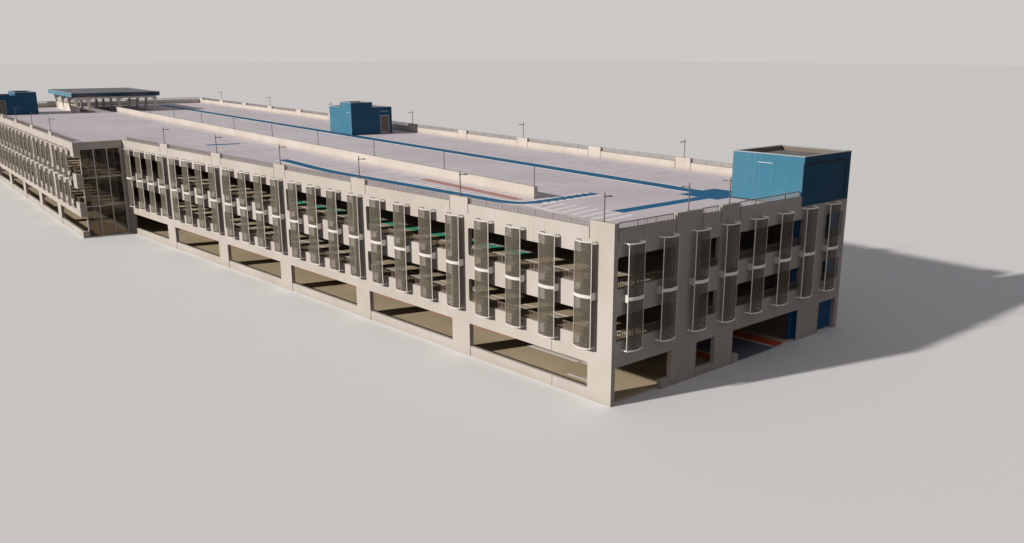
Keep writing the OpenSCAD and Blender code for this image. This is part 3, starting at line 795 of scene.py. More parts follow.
@dataclass(frozen=True)
class SatinPaint:
    """Satin paint on metal, with a faint orange peel, dust and edges rubbed pale or dark."""

    name: str
    body: Colour
    dust: Colour = paint(150, 142, 132)
    rubbed: Colour = paint(210, 208, 204)
    roughness: float = 0.42
    roughness_drop: float = 0.06
    roughness_rise: float = 0.1
    dust_share: float = 0.25
    rub_share: float = 0.45
    metallic: float = 0.0
    glow: float = 0.0

    def build(self) -> Material:
        """Makes the material."""
        finish = Finish(self.name, self.roughness, self.metallic)
        grain = finish.effect(Effect.cast_grain(), Cloud_Scale=7.0, Grain_Scale=160.0)
        marks = finish.effect(Effect.rain_marks(), Streak_Scale=60.0, Splash_Height=0.03)
        edges = finish.effect(Effect.worn_edges(), Width=0.0012, Break_Scale=60.0)
        colour = finish.bench.coats(
            self.body,
            (grain["Clouds"], self.dust_share / 2, self.dust),
            (marks["Streaks"], self.dust_share, self.dust),
            (edges["Edge"], self.rub_share, self.rubbed),
        )
        finish.feed("Base Color", colour)
        smoothest = self.roughness - self.roughness_drop
        finish.roughen(grain["Clouds"], (smoothest, self.roughness + self.roughness_rise))
        finish.relief(grain["Grain"], strength=0.12, depth=0.0003)
        # A glow above nought is painted light, for frames that are no lamp.
        if self.glow > 0.0:
            finish.feed("Emission Color", colour)
            finish.preset("Emission Strength", self.glow)
        return finish.material


@dataclass(frozen=True)
class CorePaint:
    """Walls of the near stair core.

    They are blue beside the end wall and bare dark concrete further in. Beside the end wall's last
    opening their outer face takes painted shade, near black, then painted light in a lighter blue.
    """

    name: str = "core_paint"
    body: Colour = paint(20, 84, 128)
    painted_lit_blue: Colour = paint(36, 138, 190)
    bare: Colour = paint(130, 118, 106)
    stain: Colour = paint(66, 58, 52)
    shade: Colour = paint(18, 22, 26)
    rubbed: Colour = paint(120, 140, 152)
    painted_from: float = PLAN.near_x - 0.036
    last_opening: float = PLAN.near_y + 1.8
    painted_lit_from: float = PLAN.near_y + 2.012

    def build(self) -> Material:
        """Makes the material."""
        finish = Finish(self.name, roughness=0.6)
        bench = finish.bench
        grain = finish.effect(Effect.cast_grain(), Cloud_Scale=3.0, Grain_Scale=100.0)
        marks = finish.effect(Effect.rain_marks(), Streak_Scale=40.0, Splash_Height=0.03)
        edges = finish.effect(Effect.worn_edges(), Width=0.002, Break_Scale=40.0)
        place = bench.axes(bench.place())
        bare = bench.coats(self.bare, (grain["Clouds"], 0.6, self.stain))
        colour = bench.blend(bench.above(place[0], self.painted_from), bare, self.body)
        # Painted shade near black, then painted light in a lighter blue, along that outer face.
        outward = bench.blend(bench.above(place[1], self.painted_lit_from), self.shade, self.painted_lit_blue)
        behind = bench.above(place[1], self.last_opening)
        behind = bench.times(bench.above(bench.facing()[0], 0.5), behind)
        colour = bench.coats(
            bench.blend(behind, colour, outward),
            (marks["Streaks"], 0.15, self.stain),
            (edges["Edge"], 0.3, self.rubbed),
        )
        finish.feed("Base Color", colour)
        finish.roughen(grain["Clouds"], (0.52, 0.72))
        finish.relief(grain["Grain"], strength=0.2, depth=0.0004)
        return finish.material


@dataclass(frozen=True)
class TowerCladding:
    """Cladding sheets, teal on the long faces and navy on the ends, with roof sheet inside."""

    lined: tuple[Area, ...]
    name: str = "tower_paint"
    teal: Colour = paint(58, 119, 143)
    navy: Colour = paint(5, 79, 113)
    lining: Colour = paint(122, 112, 102)
    joint: Colour = paint(16, 32, 44)
    dust: Colour = paint(146, 150, 150)
    turn: float = 0.0
    sheet_width: float = 0.12
    sheet_height: float = 0.3
    sheet_lift: float = 0.06
    joint_half: float = 0.0007
    joint_share: float = 0.35

    def build(self) -> Material:
        """Makes the material."""
        finish = Finish(self.name, roughness=0.48)
        bench = finish.bench
        grain = finish.effect(Effect.cast_grain(), Cloud_Scale=3.5, Grain_Scale=120.0)
        marks = finish.effect(Effect.rain_marks(), Streak_Scale=40.0, Splash_Height=0.02)
        edges = finish.effect(Effect.worn_edges(), Width=0.002, Break_Scale=40.0)
        long_face = bench.above(bench.size_of(bench.facing()[1]), 0.85)
        point = bench.axes(bench.turned(turn=self.turn))
        along = bench.blend(long_face, point[1], point[0])
        lifted = bench.math("ADD", point[2], self.sheet_lift)
        lines = bench.math(
            "MAXIMUM",
            *(
                bench.below(bench.math("PINGPONG", part, sheet / 2), self.joint_half)
                for part, sheet in ((along, self.sheet_width), (lifted, self.sheet_height))
            ),
        )
        colour = bench.coats(
            bench.blend(long_face, self.navy, self.teal),
            (grain["Clouds"], 0.07, self.dust),
            (marks["Streaks"], 0.12, self.dust),
            (lines, self.joint_share, self.joint),
            (edges["Edge"], 0.35, self.dust),
        )
        finish.feed("Base Color", bench.blend(self._inside(bench, point), colour, self.lining))
        finish.roughen(grain["Clouds"], (0.42, 0.58))
        height = bench.math("SUBTRACT", bench.times(grain["Grain"], 0.15), lines)
        finish.relief(height, strength=0.5, depth=0.0006)
        return finish.material

    def _inside(self, bench: Bench, point: list[Socket]) -> Socket:
        """Mask of the faces that look in on a tower's own roof.

        Args:
            bench: the material's bench.
            point: the turned point on the piece, in three parts.

        Returns:
            The mask's socket.
        """
        mask: object = 0.0
        for area in self.lined:
            inside: object = 1.0
            for part, (low, high) in zip(point, area):
                between = bench.times(bench.above(part, low), bench.below(part, high))
                inside = bench.times(between, inside)
            mask = bench.math("MAXIMUM", inside, mask)
        return mask


@dataclass(frozen=True)
class CanopyPaint:
    """Grey sheet on top of the canopy, teal along its front and navy round its other edges."""

    name: str = "canopy_paint"
    top: Colour = paint(128, 130, 134)
    teal: Colour = paint(84, 141, 162)
    navy: Colour = paint(24, 58, 80)
    under: Colour = paint(96, 96, 98)
    dust: Colour = paint(160, 156, 148)
    turn: float = 0.0
    rib_pitch: float = 0.04
    rib_width: float = 0.003

    def build(self) -> Material:
        """Makes the material."""
        finish = Finish(self.name, roughness=0.5)
        bench = finish.bench
        grain = finish.effect(Effect.cast_grain(), Cloud_Scale=3.0, Grain_Scale=90.0)
        face = bench.facing()
        along = bench.axes(bench.turned(turn=self.turn))[0]
        ribs = bench.math("PINGPONG", along, self.rib_pitch / 2)
        rib = bench.ramp(ribs, (0.0, self.rib_width), (1.0, 0.0))
        colour = bench.blend(bench.below(face[1], -0.85), self.navy, self.teal)
        colour = bench.blend(bench.above(face[2], 0.5), colour, self.top)
        colour = bench.blend(bench.below(face[2], -0.5), colour, self.under)
        colour = bench.coats(colour, (grain["Clouds"], 0.22, self.dust), (rib, 0.12, self.navy))
        finish.feed("Base Color", colour)
        finish.roughen(grain["Clouds"], (0.44, 0.6))
        height = bench.math("ADD", rib, bench.times(grain["Grain"], 0.1))
        finish.relief(height, strength=0.5, depth=0.0012)
        return finish.material


@dataclass(frozen=True)
class ScreenMesh:
    """Stretched sheet of the sun screens: slanting strands with open slots, in dull paint."""

    name: str
    turn: float
    body: Colour = paint(127, 118, 101)
    strand: Colour = paint(164, 153, 133)
    shade: Colour = paint(62, 56, 48)
    shadow_share: float = 0.97

    def build(self) -> Material:
        """Makes the material."""
        finish = Finish(self.name, roughness=0.6)
        bench = finish.bench
        grain = finish.effect(Effect.cast_grain(), Cloud_Scale=9.0, Grain_Scale=120.0)
        point = bench.axes(bench.turned(turn=self.turn))
        holes = finish.effect(Effect.slotted_mesh(), Along=point[0], Up=point[2])
        # Painted highlight: each strand is paler towards its upper edge and darker below it.
        colour = bench.coats(
            bench.blend(holes["Slope"], self.body, self.strand),
            (holes["Second"], 0.25, self.shade),
            (grain["Clouds"], 0.25, self.shade),
            (bench.ramp(grain["Grain"], (0.42, 0.6)), 0.45, self.shade),
        )
        finish.feed("Base Color", colour)
        shadow = bench.node("ShaderNodeLightPath").outputs["Is Shadow Ray"]
        thick = bench.times(shadow, self.shadow_share)
        finish.feed("Alpha", bench.math("MAXIMUM", holes["Sheet"], thick))
        finish.roughen(grain["Clouds"], (0.5, 0.72))
        finish.relief(holes["Slope"], strength=0.6, depth=0.001)
        return finish.material


@dataclass(frozen=True)
class WindowGlass:
    """Tinted panes of the return wall, with faint rain marks in their gloss."""

    name: str = "window_glass"
    body: Colour = paint(148, 140, 128)
    mark: Colour = paint(190, 186, 178)

    def build(self) -> Material:
        """Makes the material."""
        finish = Finish(self.name, roughness=0.04, gloss=0.5)
        finish.preset("Transmission Weight", 0.9)
        finish.preset("IOR", 1.5)
        marks = finish.effect(Effect.rain_marks(), Streak_Scale=30.0, Splash_Height=0.04)
        finish.feed("Base Color", finish.bench.coats(self.body, (marks["Streaks"], 0.3, self.mark)))
        finish.roughen(marks["Streaks"], (0.03, 0.16))
        return finish.material


@dataclass(frozen=True)
class DoorPaint:
    """Painted door leaves: blue at the ground, grey brown in the towers on the deck."""

    name: str = "door_paint"
    ground: Colour = paint(28, 92, 140)
    tower: Colour = paint(116, 104, 98)
    dust: Colour = paint(60, 66, 70)
    rubbed: Colour = paint(170, 172, 172)
    split: float = 0.6

    def build(self) -> Material:
        """Makes the material."""
        finish = Finish(self.name, roughness=0.45)
        bench = finish.bench
        grain = finish.effect(Effect.cast_grain(), Cloud_Scale=9.0, Grain_Scale=140.0)
        edges = finish.effect(Effect.worn_edges(), Width=0.0015, Break_Scale=50.0)
        upper = bench.above(bench.axes(bench.place())[2], self.split)
        colour = bench.coats(
            bench.blend(upper, self.ground, self.tower),
            (grain["Clouds"], 0.16, self.dust),
            (edges["Edge"], 0.5, self.rubbed),
        )
        finish.feed("Base Color", colour)
        finish.roughen(grain["Clouds"], (0.4, 0.56))
        finish.relief(grain["Grain"], strength=0.15, depth=0.0003)
        return finish.material


@dataclass(frozen=True)
class RoadPaint:
    """Worn floor paint of the walkways and lines."""

    name: str
    body: Colour
    wear: float
    worn: Colour = paint(168, 162, 164)

    def build(self) -> Material:
        """Makes the material."""
        finish = Finish(self.name, roughness=0.66)
        bench = finish.bench
        grain = finish.effect(Effect.cast_grain(), Cloud_Scale=7.0, Grain_Scale=120.0)
        scuffs = bench.ramp(bench.noise(bench.place(), 42.0, detail=5.0, rough=0.7), (0.5, 0.7))
        thin = bench.math("ADD", scuffs, bench.times(grain["Clouds"], 0.4))
        finish.feed("Base Color", bench.coats(self.body, (thin, self.wear, self.worn)))
        finish.roughen(scuffs, (0.58, 0.8))
        finish.relief(grain["Grain"], strength=0.3, depth=0.0003)
        return finish.material


@dataclass(frozen=True)
class RoofSheet:
    """Matt grey roof sheet with lapped seams and ponding marks."""

    name: str = "roof_membrane"
    body: Colour = paint(132, 127, 122)
    pond: Colour = paint(104, 99, 94)
    seam_pitch: float = 0.1
    seam_width: float = 0.0016

    def build(self) -> Material:
        """Makes the material."""
        finish = Finish(self.name, roughness=0.85)
        bench = finish.bench
        grain = finish.effect(Effect.cast_grain(), Cloud_Scale=6.0, Grain_Scale=110.0)
        seams = bench.math("PINGPONG", bench.axes(bench.place())[0], self.seam_pitch / 2)
        seam = bench.ramp(seams, (0.0, self.seam_width), (1.0, 0.0))
        ponds = bench.ramp(bench.noise(bench.place(), 8.0, detail=3.0, rough=0.5), (0.5, 0.6))
        colour = bench.coats(
            self.body,
            (ponds, 0.6, self.pond),
            (grain["Grain"], 0.2, self.pond),
            (seam, 0.45, self.pond),
        )
        finish.feed("Base Color", colour)
        finish.roughen(ponds, (0.88, 0.7))
        finish.relief(bench.math("ADD", seam, grain["Grain"]), strength=0.3, depth=0.0008)
        return finish.material


@dataclass(frozen=True)
class LightStrip:
    """Milky cover of a wall light, softly lit."""

    name: str = "light_cover"
    body: Colour = paint(184, 204, 208)
    cloud: Colour = paint(206, 210, 210)
    glow: float = 0.06

    def build(self) -> Material:
        """Makes the material."""
        finish = Finish(self.name, roughness=0.35)
        grain = finish.effect(Effect.cast_grain(), Cloud_Scale=12.0, Grain_Scale=160.0)
        colour = finish.bench.coats(self.body, (grain["Clouds"], 0.2, self.cloud))
        finish.feed("Base Color", colour)
        finish.feed("Emission Color", colour)
        finish.preset("Emission Strength", self.glow)
        finish.roughen(grain["Grain"], (0.3, 0.42), source=(0.3, 0.7))
        return finish.material


class Palette:
    """All the finishes of the building, made once and looked up by name."""

    OWN = {
        "stair_core_walls": "core_paint",
        "mid_tower_walls": "wing_tower_paint",
        "left_tower_walls": "wing_tower_paint",
        "front_screen_panels": "screen_mesh_front",
        "end_screen_panels": "screen_mesh_end",
        "wing_screen_panels": "screen_mesh_wing",
        "end_screen_frames": "end_frame_painted_glow",
        "wing_screen_frames": "weathered_frame",
        "level_guards": "guard_metal",
    }

    def __init__(self) -> None:
        """Makes every finish."""
        finishes = [*self._masonry(), *self._metals(), *self._covers(), *self._road_paints()]
        self._made = {finish.name: finish.build() for finish in finishes}

    @staticmethod
    def _masonry() -> list[CastConcrete | FloorConcrete | CorePaint]:
        """Concrete of the walls, the floors, the deck and the stair core."""
        return [
            CastConcrete(),
            FloorConcrete(
                "floor_concrete",
                body=paint(222, 202, 168),
                cloud=paint(204, 184, 150),
                mark=paint(110, 98, 84),
                mark_share=0.22,
            ),
            FloorConcrete(
                "deck_concrete",
                body=paint(232, 222, 227),
                cloud=paint(219, 210, 215),
                mark=paint(146, 137, 138),
                mark_share=0.16,
            ),
            CorePaint(),
        ]

    @staticmethod
    def _metals() -> list[SatinPaint]:
        """Painted frames, rails, lamps, trims, seals and bolts."""
        return [
            SatinPaint("white_frame", paint(237, 232, 225), dust_share=0.12, rub_share=0.1),
            SatinPaint("weathered_frame", paint(214, 206, 195), dust_share=0.2, rub_share=0.1),
            # Painted light: the end wall's frames are paler and glow, though they are no lamp.
            SatinPaint(
                "end_frame_painted_glow", paint(250, 246, 242), dust_share=0.06, rub_share=0.05, glow=0.07
            ),
            SatinPaint("cream_paint", paint(222, 214, 198), dust_share=0.2, rub_share=0.2),
            SatinPaint(
                "rail_metal", paint(164, 154, 149), dust=paint(130, 122, 116), rub_share=0.3
            ),
            SatinPaint(
                "guard_metal", paint(134, 121, 105), dust=paint(108, 98, 86), rub_share=0.15
            ),
            SatinPaint(
                "lamp_metal", paint(116, 108, 104), rubbed=paint(150, 144, 140), roughness=0.45
            ),
            SatinPaint("trim_metal", paint(176, 184, 186), roughness=0.38, rub_share=0.3),
            SatinPaint(
                "dark_seal",
                paint(44, 42, 42),
                rubbed=paint(70, 68, 66),
                roughness=0.75,
                dust_share=0.35,
            ),
            SatinPaint(
                "bolt_metal", paint(150, 150, 150), roughness=0.35, metallic=0.85, rub_share=0.2
            ),
        ]

    @staticmethod
    def _covers() -> list[
        WindowGlass | TowerCladding | RoofSheet | DoorPaint | CanopyPaint | ScreenMesh | LightStrip
    ]:
        """Glass, cladding, roof sheet, doors, screens and light covers."""
        wing = PLAN.wing_angle
        near, mid, left = PLAN.towers()
        wing_lined = mid.linings(wing) + left.linings(wing)
        return [
            WindowGlass(),
            TowerCladding(near.linings(0.0)),
            TowerCladding(wing_lined, "wing_tower_paint", turn=wing),
            RoofSheet(),
            DoorPaint(),
            CanopyPaint(turn=wing),
            ScreenMesh("screen_mesh_front", turn=0.0),
            ScreenMesh("screen_mesh_end", turn=-math.pi / 2),
            ScreenMesh("screen_mesh_wing", turn=wing),
            LightStrip(),
        ]

    @staticmethod
    def _road_paints() -> list[RoadPaint]:
        """Paints of the walkways and the lines, and the entry plate's grey with its painted shade.
        """
        return [
            RoadPaint("walkway_blue", paint(0, 105, 149), wear=0.04),
            RoadPaint("walkway_green", paint(70, 190, 156), wear=0.1),
            RoadPaint("walkway_orange", paint(224, 92, 48), wear=0.16),
            RoadPaint("kerb_red", paint(190, 132, 118), wear=0.35),
            RoadPaint("line_white", paint(255, 250, 246), wear=0.08),
            # The entry plate's grey is a darker floor, its cool tone painted shade.
            RoadPaint("entry_grey_and_painted_shade", paint(112, 116, 130), wear=0.3, worn=paint(132, 132, 138)),
        ]

    def __getitem__(self, name: str) -> Material:
        """The finish of that name."""
        return self._made[name]

    def dress_solids(self) -> None:
        """Puts a finish on every piece that comes from the solids."""
        record = frame["record"]
        slots = {part["node"]: part["material_slot"] for part in record["subparts"]}
        for name, solid in frame["nodes"].items():
            finish = self[self.OWN.get(name, slots[name])]
            if not solid.data.materials:
                solid.data.materials.append(finish)
            for slot in solid.material_slots:
                slot.material = finish
            log.info("%s has the finish %s", name, finish.name)


class Shaper:
    """Builds the mesh of one added piece out of blocks, rods, ribbons and stamped copies."""

    def __init__(self) -> None:
        """Starts with nothing."""
        self.bm = bmesh.new()

    def block(
        self, low: Sequence[float], high: Sequence[float], place: Matrix = HERE, bevel: float = 0.0
    ) -> None:
        """Adds a block with eased edges.

        Args:
            low: its lowest corner in its own grid.
            high: its highest corner in its own grid.
            place: matrix from that grid to the model.
            bevel: width of the eased edges.
        """
        a, b = Vector(low), Vector(high)
        size = Matrix.Diagonal((*(b - a), 1.0))
        matrix = place @ Matrix.Translation((a + b) / 2) @ size
        made = bmesh.ops.create_cube(self.bm, size=1.0, matrix=matrix)
        if bevel > 0.0:
            edges = list({edge for vert in made["verts"] for edge in vert.link_edges})
            bmesh.ops.bevel(
                self.bm,
                geom=edges,
                offset=bevel,
                segments=1,
                profile=0.5,
                affect="EDGES",
                material=-1,
            )

    def rod(
        self,
        start: Sequence[float],
        end: Sequence[float],
        radius: float,
        place: Matrix = HERE,
        sides: int = 10,
        taper: float = 1.0,
    ) -> None:
        """Adds a round or many sided rod between two points.

        Args:
            start: middle of one end.
            end: middle of the other end.
            radius: its radius at the start.
            place: matrix from the rod's grid to the model.
            sides: number of its sides.
            taper: radius at the end as a share of the first.
        """
        a, b = Vector(start), Vector(end)
        turn = (b - a).to_track_quat("Z", "Y").to_matrix().to_4x4()
        bmesh.ops.create_cone(
            self.bm,
            cap_ends=True,
            cap_tris=False,
            segments=sides,
            radius1=radius,
            radius2=radius * taper,
            depth=(b - a).length,
            matrix=place @ Matrix.Translation((a + b) / 2) @ turn,
        )

    def ribbon(
        self, line: Sequence[Vector], width: float, height: float, closed: bool = False
    ) -> None:
        """Adds a flat ribbon that follows a line on the plan, such as a painted strip.

        Args:
            line: points along its middle, at its underside.
            width: its width.
            height: its thickness.
            closed: whether the last point joins the first.
        """
        points = [Vector(p) for p in line]
        count = len(points)
        sharpest = 0.3

        def across(k: int) -> Vector:
            """Half width at a point, square to the line or on its mitre."""
            first, last = k == 0 and not closed, k == count - 1 and not closed
            before = points[1] - points[0] if first else points[k] - points[k - 1]
            after = points[-1] - points[-2] if last else points[(k + 1) % count] - points[k]
            a, b = before.normalized(), after.normalized()
            mid = (a + b).normalized()
            square = Vector((-mid.y, mid.x, 0.0))
            mitre = max(sharpest, square.dot(Vector((-a.y, a.x, 0.0))))
            return square * (width / 2 / mitre)

        pair = [self.bm.verts.new(points[0] + across(0) * s) for s in (-1.0, 1.0)]
        edge = first_edge = self.bm.edges.new(pair)
        faces = []
        for k in range(1, count):
            made = bmesh.ops.extrude_edge_only(self.bm, edges=[edge])["geom"]
            edge = next(g for g in made if isinstance(g, bmesh.types.BMEdge))
            for vert in (g for g in made if isinstance(g, bmesh.types.BMVert)):
                sign = -1.0 if (vert.co - points[k - 1]).dot(across(k - 1)) < 0.0 else 1.0
                vert.co = points[k] + across(k) * sign
            faces += [g for g in made if isinstance(g, bmesh.types.BMFace)]
        if closed:
            faces += bmesh.ops.bridge_loops(self.bm, edges=[edge, first_edge])["faces"]
        self._thicken(faces, height)

    def plate(self, outline: Sequence[Vector], height: float) -> None:
        """Adds a flat plate of the given outline.

        Args:
            outline: its corners on the plan, at its underside.
            height: its thickness.
        """
        face = self.bm.faces.new([self.bm.verts.new(p) for p in outline])
        self._thicken([face], height)

    def _thicken(self, faces: list[bmesh.types.BMFace], height: float) -> None:
        """Raises a closed body from flat faces."""
        raised = bmesh.ops.extrude_face_region(self.bm, geom=faces, use_keep_orig=True)["geom"]
        lifted = [g for g in raised if isinstance(g, bmesh.types.BMVert)]
        bmesh.ops.translate(self.bm, verts=lifted, vec=(0.0, 0.0, height))

    def stamp(self, shape: "Shaper", places: Iterable[Matrix]) -> None:
        """Adds a copy of another shape at each place.

        Args:
            shape: the shape to repeat, left as it is.
            places: matrices from the shape's grid to the model.
        """
        source = bpy.data.meshes.new("stamp")
        shape.bm.to_mesh(source)
        for place in places:
            copy = source.copy()
            copy.transform(place)
            self.bm.from_mesh(copy)
            bpy.data.meshes.remove(copy)
        bpy.data.meshes.remove(source)

    def piece(self, name: str, finish: Material, slot: str) -> None:
        """Closes the mesh and makes it a piece of the building.

        Args:
            name: the piece's name.
            finish: its material.
            slot: the record's material slot; not used.
        """
        bmesh.ops.recalc_face_normals(self.bm, faces=self.bm.faces[:])
        mesh = bpy.data.meshes.new(name)
        self.bm.to_mesh(mesh)
        self.bm.free()
        mesh.materials.append(finish)
        made = bpy.data.objects.new(name, mesh)
        bpy.context.scene.collection.objects.link(made)
        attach(made, "root")
        log.info("%s: %d faces", name, len(mesh.polygons))


def wall_lines() -> dict[Side, list[Span]]:
    """Posts of every wall between which rails and guards run.

    Returns:
        The posts by side.
    """
    return {
        Side.FRONT: PLAN.front_line(),
        Side.END: PLAN.end_posts(),
        Side.WING: [(PLAN.wall, PLAN.wall)] + PLAN.wing_posts(),
        Side.LEFT: PLAN.left_posts(),
        Side.REAR: PLAN.rear_posts(),
    }


@dataclass(frozen=True)
class Trim:
    """One kind of added pieces, with the finishes that they can take."""

    palette: Palette


@dataclass(frozen=True)
class Railings(Trim):
    """Pickets, foot bars and end brackets of the roof rails and of the guards in the storeys."""

    picket_width: float = 0.003
    picket_depth: float = 0.002
    pitch: float = 0.011
    guard_pitch: float = 0.0125
    inset: float = 0.010
    bar: float = 0.004
    foot: float = 0.003
    foot_half: float = 0.0016
    foot_gap: float = 0.0015
    bracket_half: float = 0.0012
    lap: float = 0.001
    roof_top: float = 0.095
    guard_top: float = 0.105

    def build(self) -> None:
        """Makes the pickets of the roof and of each raised floor."""
        lines = wall_lines()
        roof = dict(lines)
        roof[Side.END] = PLAN.end_posts()[:3] + [(PLAN.core_start, PLAN.core_start)]
        top = PLAN.deck + self.roof_top
        shape = self._run(roof, (PLAN.parapet_top, top), self.pitch, bracketed=True)
        shape.piece("roof_rail_pickets", self.palette["rail_metal"], "rail_metal")
        for name, level in zip(("level_one", "level_two"), PLAN.levels):
            rise = (level + PLAN.upstand, level + self.guard_top)
            shape = self._run(lines, rise, self.guard_pitch)
            shape.piece(f"{name}_guard_pickets", self.palette["guard_metal"], "rail_metal")

    def _run(
        self, posts: dict[Side, list[Span]], rise: Span, pitch: float, bracketed: bool = False
    ) -> Shaper:
        """Makes one row of pickets with its foot bars round the building.

        Args:
            posts: the posts of each wall.
            rise: top of the panel that carries the row, and top of the rail.
            pitch: distance from picket to picket.
            bracketed: whether brackets hold the rail's ends, as they do except on the end wall.

        Returns:
            The row's shape.
        """
        shape, picket, bracket = Shaper(), Shaper(), Shaper()
        (low, top), middle = rise, PLAN.wall / 2
        half, depth, arm = self.picket_width / 2, self.picket_depth / 2, self.bracket_half
        picket.block((-half, -depth, 0.0), (half, depth, top - low - self.bar / 2))
        bracket.block((0.0, -arm, -arm), (self.inset + self.lap, arm, arm))
        foot = low + self.foot_gap
        for side, line in posts.items():
            grid = PLAN.grid(side)
            places, ends = [], []
            for start, end in spans(line):
                first, last = start + self.inset, end - self.inset
                clear = last - first - 2 * self.bar
                count = max(2, round(clear / pitch))
                step = clear / count
                places += [
                    grid @ shift(first + self.bar + (k + 0.5) * step, middle, low)
                    for k in range(count)
                ]
                shape.block(
                    (first, middle - self.foot_half, foot),
                    (last, middle + self.foot_half, foot + self.foot),
                    grid,
                )
                ends += [start - self.lap if start else 0.0, last]
            shape.stamp(picket, places)
            if bracketed and side is not Side.END:
                height = top - self.bar / 2
                shape.stamp(bracket, [grid @ shift(at, middle, height) for at in ends])
        return shape


@dataclass(frozen=True)
class ScreenFixings(Trim):
    """Plates of the sun screens.

    Wall plates with bolts sit behind their arms, and deep side plates at their mid bands.
    """

    width: float = 0.12
    per_bay: int = 4
    arm: float = 0.0035
    arm_inset: float = 0.0012
    plate_width: float = 0.009
    plate_depth: float = 0.0014
    plate_margin: float = 0.005
    plate_bevel: float = 0.0004
    bolt_radius: float = 0.0013
    bolt_height: float = 0.0012
    bolt_inset: float = 0.0026
    front_start: float = 0.114
    end_start: float = 0.068
    wing_start: float = 0.16
    side_plate: float = 0.0046
    side_height: float = 0.039
    side_bevel: float = 0.0008
    side_bolt_height: float = 0.0009
    side_bolt_depths: Span = (0.27, 0.73)
    side_bolt_lift: float = 0.3
    reach: float = 0.0345
    rails: tuple[Span, Span, Span] = ((0.285, 0.291), (0.5485, 0.5655), (0.829, 0.835))

    @property
    def offset(self) -> float:
        """Distance from the middle of a screen to the middle of its arms."""
        return self.width / 2 - self.arm_inset - self.arm / 2

    def middles(self) -> dict[Side, list[float]]:
        """Middle of every screen by side.

        Returns:
            Distances along each wall.
        """
        pitch = PLAN.bay / self.per_bay
        rows = {
            Side.FRONT: (self.front_start, PLAN.front_line()[-1][0]),
            Side.END: (self.end_start, PLAN.end_length),
            Side.WING: (self.wing_start, PLAN.wing_length),
        }
        rounding = 1e-6
        return {
            side: [
                start + k * pitch + self.width / 2
                for k in range(int((end - start - self.width) / pitch + rounding) + 1)
            ]
            for side, (start, end) in rows.items()
        }

    def build(self) -> None:
        """Makes the plates and their bolts."""
        self._side_plates()
        plates, bolts = Shaper(), Shaper()
        face = -self.plate_depth
        for low, high in self.rails:
            plate, bolt = Shaper(), Shaper()
            reach = (high - low) / 2 + self.plate_margin
            half = self.plate_width / 2
            plate.block((-half, face, -reach), (half, 0.0, reach), bevel=self.plate_bevel)
            for lift in (self.bolt_inset - reach, reach - self.bolt_inset):
                head = (0.0, face - self.bolt_height, lift)
                bolt.rod((0.0, face, lift), head, self.bolt_radius, sides=6)
            for side, middles in self.middles().items():
                spots = [
                    PLAN.grid(side) @ shift(middle + hand * self.offset, 0.0, (low + high) / 2)
                    for middle in middles
                    for hand in (-1.0, 1.0)
                ]
                plates.stamp(plate, spots)
                bolts.stamp(bolt, spots)
        plates.piece("screen_wall_plates", self.palette["white_frame"], "white_frame")
        bolts.piece("screen_bolts", self.palette["bolt_metal"], "rail_metal")

    def _side_plates(self) -> None:
        """Makes the deep plates that tie the mid bands back to the walls."""
        plate, bolt = Shaper(), Shaper()
        half, lift = self.side_plate / 2, self.side_height / 2
        plate.block((-half, -self.reach, -lift), (half, 0.0, lift), bevel=self.side_bevel)
        for share in self.side_bolt_depths:
            for hand in (-1.0, 1.0):
                depth, up = -share * self.reach, hand * self.side_bolt_lift * self.side_height
                head = (half + self.side_bolt_height, depth, up)
                bolt.rod((half, depth, up), head, self.bolt_radius, sides=6)
        height = sum(self.rails[1]) / 2
        for side, middles in self.middles().items():
            shape = Shaper()
            for hand in (-1.0, 1.0):
                flip = Matrix.Diagonal((hand, 1.0, 1.0, 1.0))
                spots = [
                    PLAN.grid(side) @ shift(middle + hand * self.offset, 0.0, height) @ flip
                    for middle in middles
                ]
                shape.stamp(plate, spots)
                shape.stamp(bolt, spots)
            shape.piece(f"{side.value}_side_plates", self.palette["white_frame"], "white_frame")


